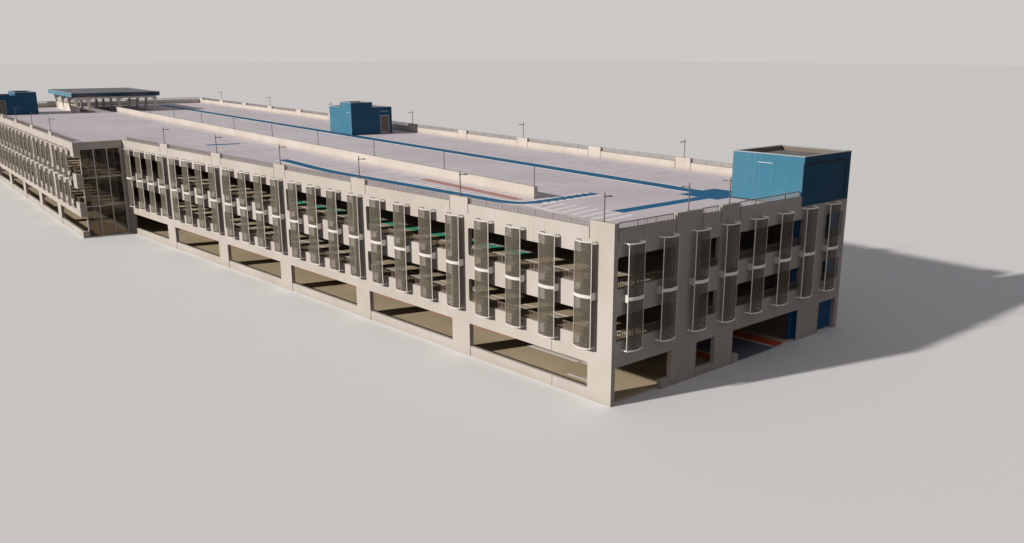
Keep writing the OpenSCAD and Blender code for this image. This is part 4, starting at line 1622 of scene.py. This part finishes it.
@dataclass(frozen=True)
class WallJoints(Trim):
    """Sealed joints between cast panels, and painted shadow along the near tower's sunk panel."""

    width: float = 0.0026
    proud: float = 0.0004
    lap: float = 0.001
    low_panel: float = 0.020
    low_top: float = 0.0605
    front_joint: float = 0.43
    front_rise: Span = (0.2, 0.335)
    end_joints: tuple[tuple[float, float], ...] = ((0.681, 0.2), (1.018, 0.05), (1.925, 0.2))
    border: float = 0.04
    painted_shadow_clear: float = 0.002
    painted_shadow_depths: Span = (0.0015, 0.0045)
    painted_shadow_height: float = 0.008
    painted_shadow_width: float = 0.005

    def build(self) -> None:
        """Makes the joint strips of the walls."""
        shape = Shaper()
        low_face = (PLAN.wall - self.low_panel) / 2
        for side, at in self._low_joints():
            self._seal(shape, PLAN.grid(side), at, (self.lap, self.low_top), low_face)
        self._seal(shape, PLAN.grid(Side.FRONT), self.front_joint, self.front_rise)
        end = PLAN.grid(Side.END)
        for at, top in self.end_joints:
            self._seal(shape, end, at, (0.0, top))
        # Painted shadow: dark strips under the sunk panel's top border and down its far side.
        far, head = PLAN.end_length - self.border, PLAN.near_top - self.border
        front, back = self.painted_shadow_depths
        under = head - self.painted_shadow_height
        shape.block((PLAN.core_start + self.painted_shadow_clear, front, under), (far, back, head), end)
        foot = (far - self.painted_shadow_width, front, PLAN.deck + self.painted_shadow_clear)
        shape.block(foot, (far, back, under), end)
        shape.piece("panel_joint_seals_and_painted_shadow", self.palette["dark_seal"], "wall_concrete")

    def _low_joints(self) -> list[tuple[Side, float]]:
        """Side and place of the joints in the low walls.

        Returns:
            One joint in the nearest bay of the front, and one in every bay of the other walls.
        """
        joints = [(Side.FRONT, self.front_joint)]
        for side, posts in wall_lines().items():
            if side in (Side.WING, Side.LEFT, Side.REAR):
                joints += [(side, (start + end) / 2) for start, end in spans(posts)]
        return joints

    def _seal(self, shape: Shaper, grid: Matrix, at: float, rise: Span, face: float = 0.0) -> None:
        """Adds one upright seal.

        Args:
            shape: the piece under way.
            grid: the wall's grid.
            at: its place along the wall.
            rise: its foot and its top.
            face: how far the panel's face lies behind the wall's.
        """
        half = self.width / 2
        low = (at - half, face - self.proud, rise[0])
        shape.block(low, (at + half, face + self.lap, rise[1]), grid)


@dataclass(frozen=True)
class TowerTrim(Trim):
    """Copings, foot flashings and wall lights of the towers."""

    coping_drop: float = 0.0028
    coping_rise: float = 0.0022
    coping_depth: float = 0.0235
    coping_bevel: float = 0.0006
    overhang: float = 0.0018
    shortest: float = 0.002
    flashing: float = 0.0012
    flashing_height: float = 0.008
    flashing_bevel: float = 0.0003
    door_side: float = 0.328
    near_light: tuple[Point, float] = ((0.268, 0.0, 1.08), 0.105)
    mid_front_light: tuple[Point, float] = ((0.062, 0.0, 1.078), 0.07)
    mid_side_light: tuple[Point, float] = ((0.0, 0.401, 1.085), 0.09)
    left_light: tuple[Point, float] = ((0.3, 0.27, 1.13), 0.09)
    housing_lap: float = 0.002
    housing_depth: float = 0.003
    housing_half: float = 0.0032
    cover_depth: float = 0.0058
    cover_half: float = 0.002

    def build(self) -> None:
        """Makes the trims of the three towers."""
        coping, flashing, cover, housing = Shaper(), Shaper(), Shaper(), Shaper()
        for tower, side in zip(PLAN.towers(), (None, self.door_side, None)):
            skip = (tower.tall_at, tower.tall) if tower.tall else None
            self._ring(coping, tower.place, (0.0, 0.0), tower.size, tower.tops[0], skip)
            if skip:
                self._ring(coping, tower.place, *skip, tower.tops[1])
            self._skirt(flashing, tower, PLAN.deck, side)
        coping.piece("tower_copings", self.palette["trim_metal"], "rail_metal")
        flashing.piece("tower_flashings", self.palette["dark_seal"], "roof_membrane")
        self._lights(cover, housing)
        cover.piece("tower_light_covers", self.palette["light_cover"], "white_frame")
        housing.piece("tower_light_housings", self.palette["trim_metal"], "rail_metal")

    def _ring(
        self,
        shape: Shaper,
        place: Matrix,
        at: Span,
        size: Span,
        top: float,
        skip: tuple[Span, Span] | None = None,
    ) -> None:
        """Adds a coping round the top of one part of a tower.

        Args:
            shape: the piece under way.
            place: the tower's matrix.
            at: start of the part in the tower's grid.
            size: size of the part.
            top: top of its walls.
            skip: start and size of a higher part that the coping stops at.
        """
        low, high = top - self.coping_drop, top + self.coping_rise
        x0, y0 = at[0] - self.overhang, at[1] - self.overhang
        x1, y1 = at[0] + size[0] + self.overhang, at[1] + size[1] + self.overhang
        depth = self.coping_depth
        for start, end in (
            ((x0, y0), (x1, y0 + depth)),
            ((x0, y1 - depth), (x1, y1)),
            ((x0, y0 + depth), (x0 + depth, y1 - depth)),
            ((x1 - depth, y0 + depth), (x1, y1 - depth)),
        ):
            if skip is not None:
                start, end = self._clear_of(start, end, *skip)
            if end[0] - start[0] >= self.shortest and end[1] - start[1] >= self.shortest:
                shape.block((*start, low), (*end, high), place, bevel=self.coping_bevel)

    @staticmethod
    def _clear_of(start: Span, end: Span, at: Span, size: Span) -> tuple[Span, Span]:
        """Cuts one side of a coping where a higher part stands.

        Args:
            start: start of the side on the PLAN.
            end: end of the side.
            at: start of the higher part.
            size: size of the higher part.

        Returns:
            The start and end that are left, the same point where nothing is.
        """
        touch, margin = 0.001, 0.003
        low, high = list(start), list(end)
        for axis in (0, 1):
            other = 1 - axis
            first, last = at[axis], at[axis] + size[axis]
            reach = at[other] + size[other]
            crosses = low[other] < reach - touch and high[other] > at[other] + touch
            if crosses and low[axis] < last < high[axis]:
                low[axis] = last
            elif crosses and low[axis] < first < high[axis]:
                high[axis] = first
        if all(low[k] > at[k] - margin and high[k] < at[k] + size[k] + margin for k in (0, 1)):
            return at, at
        return (low[0], low[1]), (high[0], high[1])

    def _skirt(self, shape: Shaper, tower: Tower, foot: float, side: float | None) -> None:
        """Adds the flashing where a tower meets the deck.

        Args:
            shape: the piece under way.
            tower: the tower.
            foot: height of the deck.
            side: length of the flashing down the side with the door, or None where it has none.
        """
        proud, top, bevel = self.flashing, foot + self.flashing_height, self.flashing_bevel
        front = (tower.size[0], 0.0, top)
        shape.block((0.0, -proud, foot), front, tower.place, bevel=bevel)
        if side is not None:
            shape.block((-proud, -proud, foot), (0.0, side, top), tower.place, bevel=bevel)

    def _lights(self, cover: Shaper, housing: Shaper) -> None:
        """Adds the long wall lights on the towers' faces.

        Args:
            cover: the lit covers under way.
            housing: the housings under way.
        """
        _, mid, left = PLAN.towers()
        near = PLAN.grid(Side.FRONT) @ shift(0.0, PLAN.core_start)
        sideways = Matrix.Rotation(-math.pi / 2, 4, "Z")
        for wall, turn, (at, length) in (
            (near, HERE, self.near_light),
            (mid.place, HERE, self.mid_front_light),
            (mid.place, sideways, self.mid_side_light),
            (left.place, HERE, self.left_light),
        ):
            place = wall @ shift(*at) @ turn
            half, depth, rim = length / 2, self.housing_depth, self.housing_half
            wide, lit = half + self.housing_lap, self.cover_half
            housing.block((-wide, -depth, -rim), (wide, 0.0, rim), place, bevel=0.0006)
            cover.block((-half, -self.cover_depth, -lit), (half, -depth, lit), place, bevel=0.0008)


@dataclass(frozen=True)
class DoorTrim(Trim):
    """Frames, handles and kick plates of the doors in the towers and at the foot of the core.

    On the towers the boxes and the ends of the rods are measured from the foot of the first jamb,
    and at the core from the foot of the line between the leaves.
    """

    tower_starts: Span = (0.356, 0.036)
    tower_frame: tuple[Box, ...] = (
        ((-0.002, -0.008, 0.0), (0.006, 0.0, 0.203)),
        ((-0.002, 0.09, 0.0), (0.006, 0.098, 0.203)),
        ((-0.002, 0.0, 0.195), (0.006, 0.09, 0.203)),
    )
    lock: Box = ((0.0035, 0.07, 0.098), (0.006, 0.084, 0.112))
    lever: tuple[Box, Box] = (
        ((0.0005, 0.08, 0.106), (0.0045, 0.08, 0.106)),
        ((0.0005, 0.0805, 0.106), (0.0005, 0.066, 0.106)),
    )
    kick: Box = ((0.0048, 0.008, 0.004), (0.006, 0.082, 0.026))
    core_frame: tuple[Box, ...] = (
        ((-0.095, -0.007, 0.0), (-0.089, 0.0, 0.19)),
        ((0.089, -0.007, 0.0), (0.095, 0.0, 0.19)),
        ((-0.095, -0.007, 0.184), (0.095, 0.0, 0.19)),
    )
    core_gap: Box = ((-0.0012, -0.0016, 0.002), (0.0012, 0.0, 0.184))
    bar: Box = ((0.012, -0.007, 0.075), (0.012, -0.007, 0.125))
    bar_fixings: tuple[Box, Box] = (
        ((0.012, -0.007, 0.079), (0.012, 0.0, 0.079)), ((0.012, -0.007, 0.121), (0.012, 0.0, 0.121))
    )
    core_kick: Box = ((0.004, -0.0012, 0.004), (0.084, 0.0, 0.024))
    bar_radius: float = 0.0016
    thin_radius: float = 0.0012
    bevel: float = 0.0008
    kick_bevel: float = 0.0004

    def build(self) -> None:
        """Makes the trims of the three doors."""
        frames, handles = Shaper(), Shaper()
        for tower, start in zip(PLAN.towers()[1:], self.tower_starts):
            door = tower.place @ shift(0.0, start, PLAN.deck)
            for box in self.tower_frame:
                frames.block(*box, door, self.bevel)
            handles.block(*self.lock, door, self.bevel)
            for rod in self.lever:
                handles.rod(*rod, self.thin_radius, door)
            handles.block(*self.kick, door, self.kick_bevel)
        middle = (PLAN.end_piers[2][1] + PLAN.end_piers[3][0]) / 2
        door = PLAN.grid(Side.END) @ shift(middle, PLAN.wall, PLAN.ground)
        for box in self.core_frame:
            frames.block(*box, door, self.bevel)
        frames.block(*self.core_gap, door)
        for hand in (-1.0, 1.0):
            leaf = door @ Matrix.Diagonal((hand, 1.0, 1.0, 1.0))
            handles.rod(*self.bar, self.bar_radius, leaf)
            for rod in self.bar_fixings:
                handles.rod(*rod, self.thin_radius, leaf)
            handles.block(*self.core_kick, leaf, self.kick_bevel)
        frames.piece("door_frames", self.palette["trim_metal"], "rail_metal")
        handles.piece("door_furniture", self.palette["bolt_metal"], "rail_metal")


@dataclass(frozen=True)
class Lamps(Trim):
    """Heads, collars, caps and base plates of the lamp posts, and caps of the plain posts."""

    radius: float = 0.003
    height: float = 0.142
    arm_top: float = 0.124
    clamp: Box = ((-0.0042, -0.0042, -0.006), (0.0042, 0.0042, 0.002))
    head: Box = ((-0.0058, 0.032, -0.0062), (0.0058, 0.054, -0.0028))
    lens: Box = ((-0.0044, 0.035, -0.0069), (0.0044, 0.051, -0.0062))
    base: Box = ((-0.0078, -0.0078, 0.0), (0.0078, 0.0078, 0.0014))
    collar_top: float = 0.008
    collar_lap: float = 0.0012
    cap_lap: float = 0.0006
    cap_heights: Span = (-0.001, 0.0012)
    bolt_at: float = 0.0055
    bolt_radius: float = 0.0009
    bolt_height: float = 0.0012
    plain_height: float = 0.125
    plain_pitch: float = 1.085
    plain_start: float = 0.015

    def build(self) -> None:
        """Makes the fittings of every post."""
        fitting, lens, plain = Shaper(), Shaper(), Shaper()
        self._foot(fitting, self.height)
        self._foot(plain, self.plain_height)
        arm = shift(0.0, 0.0, self.arm_top)
        fitting.block(*self.clamp, arm, bevel=0.0008)
        fitting.block(*self.head, arm, bevel=0.001)
        lens.block(*self.lens, arm, bevel=0.0003)
        heads, lenses = Shaper(), Shaper()
        places = self._places()
        heads.stamp(fitting, places)
        heads.stamp(plain, self._plain_places())
        lenses.stamp(lens, places)
        heads.piece("lamp_fittings", self.palette["lamp_metal"], "lamp_metal")
        lenses.piece("lamp_lenses", self.palette["light_cover"], "white_frame")

    def _foot(self, shape: Shaper, height: float) -> None:
        """Adds the base plate, bolts, collar and cap of one post.

        Args:
            shape: the piece under way.
            height: height of the post.
        """
        base = self.base[1][2]
        shape.block(*self.base, bevel=0.0004)
        collar, cap = self.radius + self.collar_lap, self.radius + self.cap_lap
        shape.rod((0.0, 0.0, base), (0.0, 0.0, self.collar_top), collar, sides=12, taper=0.8)
        low, high = (height + rise for rise in self.cap_heights)
        shape.rod((0.0, 0.0, low), (0.0, 0.0, high), cap, sides=12, taper=0.7)
        for x in (-self.bolt_at, self.bolt_at):
            for y in (-self.bolt_at, self.bolt_at):
                head = (x, y, base + self.bolt_height)
                shape.rod((x, y, base), head, self.bolt_radius, sides=6)

    @staticmethod
    def _places() -> list[Matrix]:
        """Foot of every lamp post, its arm reaching inwards.

        Returns:
            One matrix for each post.
        """
        rows = [
            (Side.FRONT, PLAN.front_posts()),
            (Side.END, PLAN.end_posts()[1:3]),
            (Side.WING, PLAN.wing_posts()),
            (Side.REAR, PLAN.rear_posts()[1 : PLAN.rear_bays + 1 : 2]),
        ]
        middle, top = PLAN.wall / 2, PLAN.pilaster_top
        return [
            PLAN.grid(side) @ shift(sum(post) / 2, middle, top)
            for side, posts in rows
            for post in posts
        ]

    def _plain_places(self) -> list[Matrix]:
        """Foot of every plain post on the wall that divides the deck.

        Returns:
            One matrix for each post.
        """
        line, top = PLAN.divider_line, PLAN.deck + PLAN.divider_height
        near = PLAN.wing_along(PLAN.divider_near, line)
        length = PLAN.canopy_start - near - 2 * self.plain_start
        steps = [
            near + self.plain_start + k * self.plain_pitch
            for k in range(int(length / self.plain_pitch) + 1)
        ]
        return [PLAN.grid(Side.WING) @ shift(x, line + PLAN.wall / 2, top) for x in steps]


@dataclass(frozen=True)
class DeckPaint(Trim):
    """Walkways, bay lines and hatching painted on the roof deck.

    Paths are in full size metres from the near corner, and other places in metres of the model
    on the wing's grid. A hatch has its first stroke, the steps of its two ends, the number of its
    strokes and their width.
    """

    thickness: float = 0.0005
    edge_thickness: float = 0.0003
    landing_thickness: float = 0.0004
    line_thickness: float = 0.00045
    dash_thickness: float = 0.0006
    walkway: float = 0.09
    rear_walkway: float = 0.125
    edge: float = 0.022
    front_walk: Path = (
        (-43.3, 5.8), (-40.0, 5.35), (-36.5, 4.85), (-33.0, 4.55), (-26.0, 4.56), (-14.0, 4.5),
        (-13.2, 4.6), (-12.6, 4.8), (-12.2, 5.15), (-12.0, 5.7),
    )
    leg: Path = ((-11.95, 6.2), (-11.9, 8.0), (-12.05, 10.0), (-12.15, 11.3))
    stub: Path = ((-59.6, 6.4), (-59.0, 9.6))
    cross_walk: Path = ((-6.2, 15.0), (-6.2, 7.0))
    rear_start: Path = ((-8.2, 16.9), (-10.4, 17.1))
    rear_stations: tuple[float, ...] = (-5.02, -2.5, 0.0, 2.5, 5.0, 7.1)
    rear_back: float = 2.758
    landing: Path = ((-8.2, 15.0), (-5.1, 15.0), (-5.1, 18.8), (-8.2, 18.8))
    dashes: int = 8
    dash_start: Span = (-11.95, 6.1)
    dash_offset: float = 0.58
    dash_pitch: float = 0.66
    dash_length: float = 0.36
    strip_ends: Span = (-4.91, -3.72)
    strip_back: float = 1.6
    strip_width: float = 0.07
    bay_line: float = 0.012
    bay_length: float = 0.47
    bay_pitch: float = 0.25
    bay_rows: Path = ((-4.6, 2.9), (-4.7, 1.19), (-4.7, 1.73))
    bay_end: float = 7.25
    bands: tuple[tuple[Path, float], ...] = (
        (((-11.75, 4.92), (-7.8, 4.1), (-2.6, 3.7)), 0.034), (((-26.0, 5.6), (-20.4, 5.75)), 0.016)
    )
    hatches: tuple[tuple[Path, Path, int, float], ...] = (
        (((-10.85, 5.0), (-11.25, 6.9)), ((0.9, -0.14), (0.9, 0.0)), 8, 0.032),
        (((-64.0, 5.6), (-63.4, 7.9)), ((0.75, 0.0), (0.75, 0.0)), 6, 0.018),
    )
    near_clear: float = 0.6
    end_clear: float = 0.08
    rear_clear: float = 0.05
    canopy_clear: Span = (0.2, 0.05)
    tower_area: Area = ((-0.2, 0.46), (2.7, math.inf))

    def build(self) -> None:
        """Makes the paint of the deck."""
        self._walkways()
        self._lines()

    def _walkways(self) -> None:
        """Makes the blue walkways and the red strip beside the dividing wall."""
        blue, red, edge = Shaper(), Shaper(), Shaper()
        wing = PLAN.grid(Side.WING)
        rear = PLAN.line(self.rear_start)
        rear += [wing @ Vector((a, self.rear_back, PLAN.deck)) for a in self.rear_stations]
        strips = (
            (PLAN.line(self.front_walk + self.leg), self.walkway),
            (PLAN.line(self.stub), self.walkway),
            (rear, self.rear_walkway),
            (PLAN.line(self.cross_walk), self.walkway),
        )
        for strip, width in strips:
            blue.ribbon(strip, width, self.thickness)
        blue.plate(PLAN.line(self.landing), self.landing_thickness)
        both = 2 * self.edge
        edge.ribbon(PLAN.line(self.front_walk), self.walkway + both, self.edge_thickness)
        edge.ribbon(rear, self.rear_walkway + both, self.edge_thickness)
        for hand in (-1.0, 1.0):
            for k in range(self.dashes):
                x = self.dash_start[0] + hand * self.dash_offset
                y = self.dash_start[1] + self.dash_pitch * k
                dash = PLAN.line(((x, y), (x, y + self.dash_length)))
                edge.ribbon(dash, both, self.dash_thickness)
        strip = [wing @ Vector((a, self.strip_back, PLAN.deck)) for a in self.strip_ends]
        red.ribbon(strip, self.strip_width, self.thickness)
        edge.piece("walkway_edges", self.palette["line_white"], "deck_concrete")
        blue.piece("deck_walkways", self.palette["walkway_blue"], "deck_concrete")
        red.piece("divider_foot_strip", self.palette["kerb_red"], "deck_concrete")

    def _lines(self) -> None:
        """Makes the white lines of the parking bays and the hatched areas."""
        white, bar = Shaper(), Shaper()
        height = self.line_thickness
        half = self.bay_line / 2
        bar.block((-half, 0.0, 0.0), (half, self.bay_length, height))
        for first, back in self.bay_rows:
            count = int((self.bay_end - first) / self.bay_pitch) + 1
            places = [
                PLAN.grid(Side.WING) @ shift(first + k * self.bay_pitch, back, PLAN.deck)
                for k in range(count)
            ]
            white.stamp(bar, [place for place in places if self._free(place)])
        for path, width in self.bands:
            white.ribbon(PLAN.line(path), width, height)
        for path, steps, strokes, width in self.hatches:
            for k in range(strokes):
                stroke = [(x + k * dx, y + k * dy) for (x, y), (dx, dy) in zip(path, steps)]
                white.ribbon(PLAN.line(stroke), width, height)
        white.piece("deck_lines", self.palette["line_white"], "deck_concrete")

    def _free(self, place: Matrix) -> bool:
        """Whether a bay line lies clear of the towers, the canopy and the outer walls.

        Args:
            place: the line's matrix.

        Returns:
            True where the line can be painted.
        """
        wing = PLAN.grid(Side.WING).inverted()
        far, rear_edge = PLAN.wing_length - self.end_clear, PLAN.wing_depth - self.rear_clear
        beside, before = self.canopy_clear
        canopy: Area = (
            (PLAN.canopy_start - beside, math.inf),
            (PLAN.canopy_setback - before, PLAN.canopy_setback + PLAN.canopy_depth),
        )
        for share in (0.0, 0.5, 1.0):
            point = place @ Vector((0.0, share * self.bay_length, 0.0))
            along, back, _ = wing @ point
            if point.x - PLAN.near_x > -self.near_clear:
                return False
            if along > far or back > rear_edge:
                return False
            for (first, last), (front, rear) in (self.tower_area, canopy):
                if first < along < last and front < back < rear:
                    return False
        return True


@dataclass(frozen=True)
class StoreyPaint(Trim):
    """Walkways and lane lines painted on the floors inside, in full size metres.

    A white line has its path, its storey from the ground up and its width.
    """

    thickness: float = 0.0005
    walkway: float = 0.08
    wide_walkway: float = 0.1
    green: Path = ((-41.5, 4.5), (-10.9, 4.5))
    front_orange: Path = ((-72.0, 4.42), (-10.6, 4.42))
    entry_orange: Path = ((-30.0, 15.15), (-0.1, 15.15))
    middle_orange: Path = ((-20.0, 10.0), (-1.2, 10.0))
    white_lines: tuple[tuple[Path, int, float], ...] = (
        (((-60.0, 3.4), (-2.0, 3.4)), 1, 0.014),
        (((-60.0, 2.8), (-2.0, 2.8)), 1, 0.014),
        (((-60.0, 5.1), (-2.0, 5.1)), 2, 0.014),
        (((-60.0, 3.5), (-2.0, 3.5)), 2, 0.014),
        (((-30.0, 14.5), (-0.1, 14.5)), 0, 0.014),
        (((-10.3, 3.76), (-6.0, 3.76)), 0, 0.03),
        (((-5.8, 3.9), (-4.4, 3.9)), 0, 0.03),
        (((-4.9, 1.83), (-1.6, 1.83)), 0, 0.02),
    )
    bay_line: float = 0.012
    bay_length: float = 0.46
    bay_start: Span = (-3.0, 8.2)
    bay_pitch: float = 2.5
    bays: int = 24
    entry_plate_painted_shade: Path = ((-4.0, 10.7), (0.0, 10.7), (0.0, 14.4), (-4.0, 14.4))
    jamb: Path = ((-0.28, 16.79), (-0.01, 16.8))
    jamb_gap: float = 0.001

    def build(self) -> None:
        """Makes the paint of the three floors."""
        green, orange, white, lane, jamb = (Shaper() for _ in range(5))
        floors = ground, one, two = (PLAN.ground, *PLAN.levels)
        green.ribbon(PLAN.line(self.green, two), self.walkway, self.thickness)
        for path, width in (
            (self.front_orange, self.walkway),
            (self.entry_orange, self.wide_walkway),
            (self.middle_orange, self.walkway),
        ):
            orange.ribbon(PLAN.line(path, ground), width, self.thickness)
        for path, storey, width in self.white_lines:
            white.ribbon(PLAN.line(path, floors[storey]), width, self.thickness)
        bar, half = Shaper(), self.bay_line / 2
        bar.block((-half, 0.0, 0.0), (half, self.bay_length, self.thickness))
        x, y = self.bay_start
        for level in floors:
            spots = PLAN.line([(x - self.bay_pitch * k, y) for k in range(self.bays)], level)
            white.stamp(bar, [Matrix.Translation(spot) for spot in spots])
        # The entry plate: a darker floor at the entry, its cool grey painted shade.
        lane.plate(PLAN.line(self.entry_plate_painted_shade, ground), self.thickness)
        near, far = self.jamb
        foot, head = ground + self.jamb_gap, one - PLAN.head_drop
        jamb.block(PLAN.real(*near, foot), PLAN.real(*far, head))
        lane.piece("entry_plate_painted_shade", self.palette["entry_grey_and_painted_shade"], "floor_concrete")
        jamb.piece("entry_jamb_paint", self.palette["core_paint"], "tower_paint")
        green.piece("level_two_walkway", self.palette["walkway_green"], "floor_concrete")
        orange.piece("ground_walkways", self.palette["walkway_orange"], "floor_concrete")
        white.piece("floor_lines", self.palette["line_white"], "floor_concrete")


@dataclass(frozen=True)
class CanopyTrim(Trim):
    """Edge flashing round the top of the canopy."""

    inset: float = 0.009
    width: float = 0.016
    height: float = 0.004

    def build(self) -> None:
        """Makes the edge flashing of the canopy."""
        trim, wing = Shaper(), PLAN.grid(Side.WING)
        x0, x1 = PLAN.canopy_start + self.inset, PLAN.canopy_end - self.inset
        y0 = PLAN.canopy_setback + self.inset
        y1 = PLAN.canopy_setback + PLAN.canopy_depth - self.inset
        corners = ((x0, y0), (x1, y0), (x1, y1), (x0, y1))
        line = [wing @ Vector((*corner, PLAN.canopy_top)) for corner in corners]
        trim.ribbon(line, self.width, self.height, closed=True)
        trim.piece("canopy_edge_trim", self.palette["trim_metal"], "rail_metal")


@dataclass(frozen=True)
class GlazingTrim(Trim):
    """Beads round the panes of the return wall."""

    panes: int = 3
    mullion: float = 0.008
    bead: float = 0.002
    bead_half: float = 0.0022
    transom_rise: float = 0.023
    head_drop: float = 0.002

    def build(self) -> None:
        """Makes the dark beads between glass and frame."""
        low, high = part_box("return_wall_frame")
        transoms = [level + self.transom_rise for level in PLAN.levels]
        rows = [self.mullion, *transoms, PLAN.deck - self.head_drop]
        pitch = (high.y - low.y - self.mullion) / self.panes
        shape, bead = Shaper(), self.bead
        front = low.x + self.mullion / 2 - self.bead_half
        back = low.x + self.mullion / 2 + self.bead_half
        for k in range(self.panes):
            y0, y1 = low.y + k * pitch + self.mullion, low.y + (k + 1) * pitch
            for z0, top in zip(rows, rows[1:]):
                z1 = top - self.mullion
                for start, end in (
                    ((y0, z0), (y0 + bead, z1)),
                    ((y1 - bead, z0), (y1, z1)),
                    ((y0, z0), (y1, z0 + bead)),
                    ((y0, z1 - bead), (y1, z1)),
                ):
                    shape.block((front, *start), (back, *end))
        shape.piece("glazing_beads", self.palette["dark_seal"], "white_frame")


@dataclass(frozen=True)
class Stage:
    """Pale floor, soft sun, sky fill and the camera of the photograph."""

    floor: Colour = paint(242, 241, 239)
    floor_half: float = 120.0
    bounce: Colour = paint(122, 119, 119)
    sky: Colour = paint(205, 201, 199)
    fill: Colour = (0.94, 0.925, 1.0)
    fill_strength: float = 0.222
    sun_travel: Point = (0.29, 1.0, -0.43)
    sun_strength: float = 3.56
    sun_spread: float = math.radians(2.0)
    sun_colour: Colour = (1.0, 0.965, 0.92)
    camera_place: Point = (9.2182, -4.8129, 1.7352)
    yaw: float = math.radians(47.424)
    pitch: float = math.radians(74.494)
    roll: float = math.radians(0.079)
    frame_width: float = 1024.0
    focal_pixels: float = 945.146
    shift_pixels: Span = (-19.572, 40.803)
    sensor: float = 36.0
    clip: Span = (0.05, 400.0)

    def build(self) -> None:
        """Sets the floor, the lights and the camera."""
        self._floor()
        self._sun()
        self._sky()
        self._camera()
        bpy.context.scene.view_settings.view_transform = "Standard"

    def _floor(self) -> None:
        """Makes the pale floor."""
        shape = bmesh.new()
        bmesh.ops.create_grid(shape, x_segments=1, y_segments=1, size=self.floor_half)
        mesh = bpy.data.meshes.new("stage_floor")
        shape.to_mesh(mesh)
        shape.free()
        finish = Finish("stage_floor", roughness=0.95, gloss=0.0)
        seen = finish.bench.node("ShaderNodeLightPath").outputs["Is Camera Ray"]
        finish.feed("Base Color", finish.bench.blend(seen, self.bounce, self.floor))
        mesh.materials.append(finish.material)
        floor = bpy.data.objects.new("stage_floor", mesh)
        bpy.context.scene.collection.objects.link(floor)

    def _sun(self) -> None:
        """Hangs the soft main light, low from the front and the left."""
        light = bpy.data.lights.new("main_light", "SUN")
        light.energy = self.sun_strength
        light.angle = self.sun_spread
        light.color = self.sun_colour
        lamp = bpy.data.objects.new("main_light", light)
        lamp.rotation_euler = Vector(self.sun_travel).to_track_quat("-Z", "Y").to_euler()
        bpy.context.scene.collection.objects.link(lamp)

    def _sky(self) -> None:
        """Makes the even fill, and the pale background seen directly and through glass."""
        world = bpy.data.worlds.new("studio")
        bpy.context.scene.world = world
        world.use_nodes = True
        bench = Bench(world.node_tree)
        background = next(n for n in world.node_tree.nodes if n.type == "BACKGROUND")
        output = next(n for n in world.node_tree.nodes if n.type == "OUTPUT_WORLD")
        background.inputs["Color"].default_value = (*self.fill, 1.0)
        background.inputs["Strength"].default_value = self.fill_strength
        seen = bench.node("ShaderNodeBackground")
        seen.inputs["Color"].default_value = (*self.sky, 1.0)
        path = bench.node("ShaderNodeLightPath").outputs
        rays = bench.math("ADD", path["Is Camera Ray"], path["Is Transmission Ray"], clamp=True)
        mix = bench.node("ShaderNodeMixShader")
        for socket, value in zip(mix.inputs, (rays, background.outputs[0], seen.outputs[0])):
            bench.feed(socket, value)
        bench.feed(output.inputs[0], mix.outputs[0])

    def _camera(self) -> None:
        """Sets the camera at the photograph's place."""
        data = bpy.data.cameras.new("photo_camera")
        data.sensor_width = self.sensor
        data.sensor_fit = "HORIZONTAL"
        data.lens = self.focal_pixels / self.frame_width * self.sensor
        data.shift_x, data.shift_y = (pixels / self.frame_width for pixels in self.shift_pixels)
        data.clip_start, data.clip_end = self.clip
        camera = bpy.data.objects.new("photo_camera", data)
        yaw, roll = (Matrix.Rotation(angle, 4, "Z") for angle in (self.yaw, self.roll))
        look = yaw @ Matrix.Rotation(self.pitch, 4, "X") @ roll
        camera.matrix_world = Matrix.Translation(self.camera_place) @ look
        bpy.context.scene.collection.objects.link(camera)
        bpy.context.scene.camera = camera


def main() -> None:
    """Builds every part of the scene in order."""
    logging.basicConfig(level=logging.INFO, format="%(message)s")
    palette = Palette()
    palette.dress_solids()
    for kind in (
        Railings,
        ScreenFixings,
        WallJoints,
        TowerTrim,
        DoorTrim,
        Lamps,
        DeckPaint,
        StoreyPaint,
        CanopyTrim,
        GlazingTrim,
    ):
        kind(palette).build()
        log.info("built %s", kind.__name__)
    Stage().build()


if __name__ == "__main__":
    main()
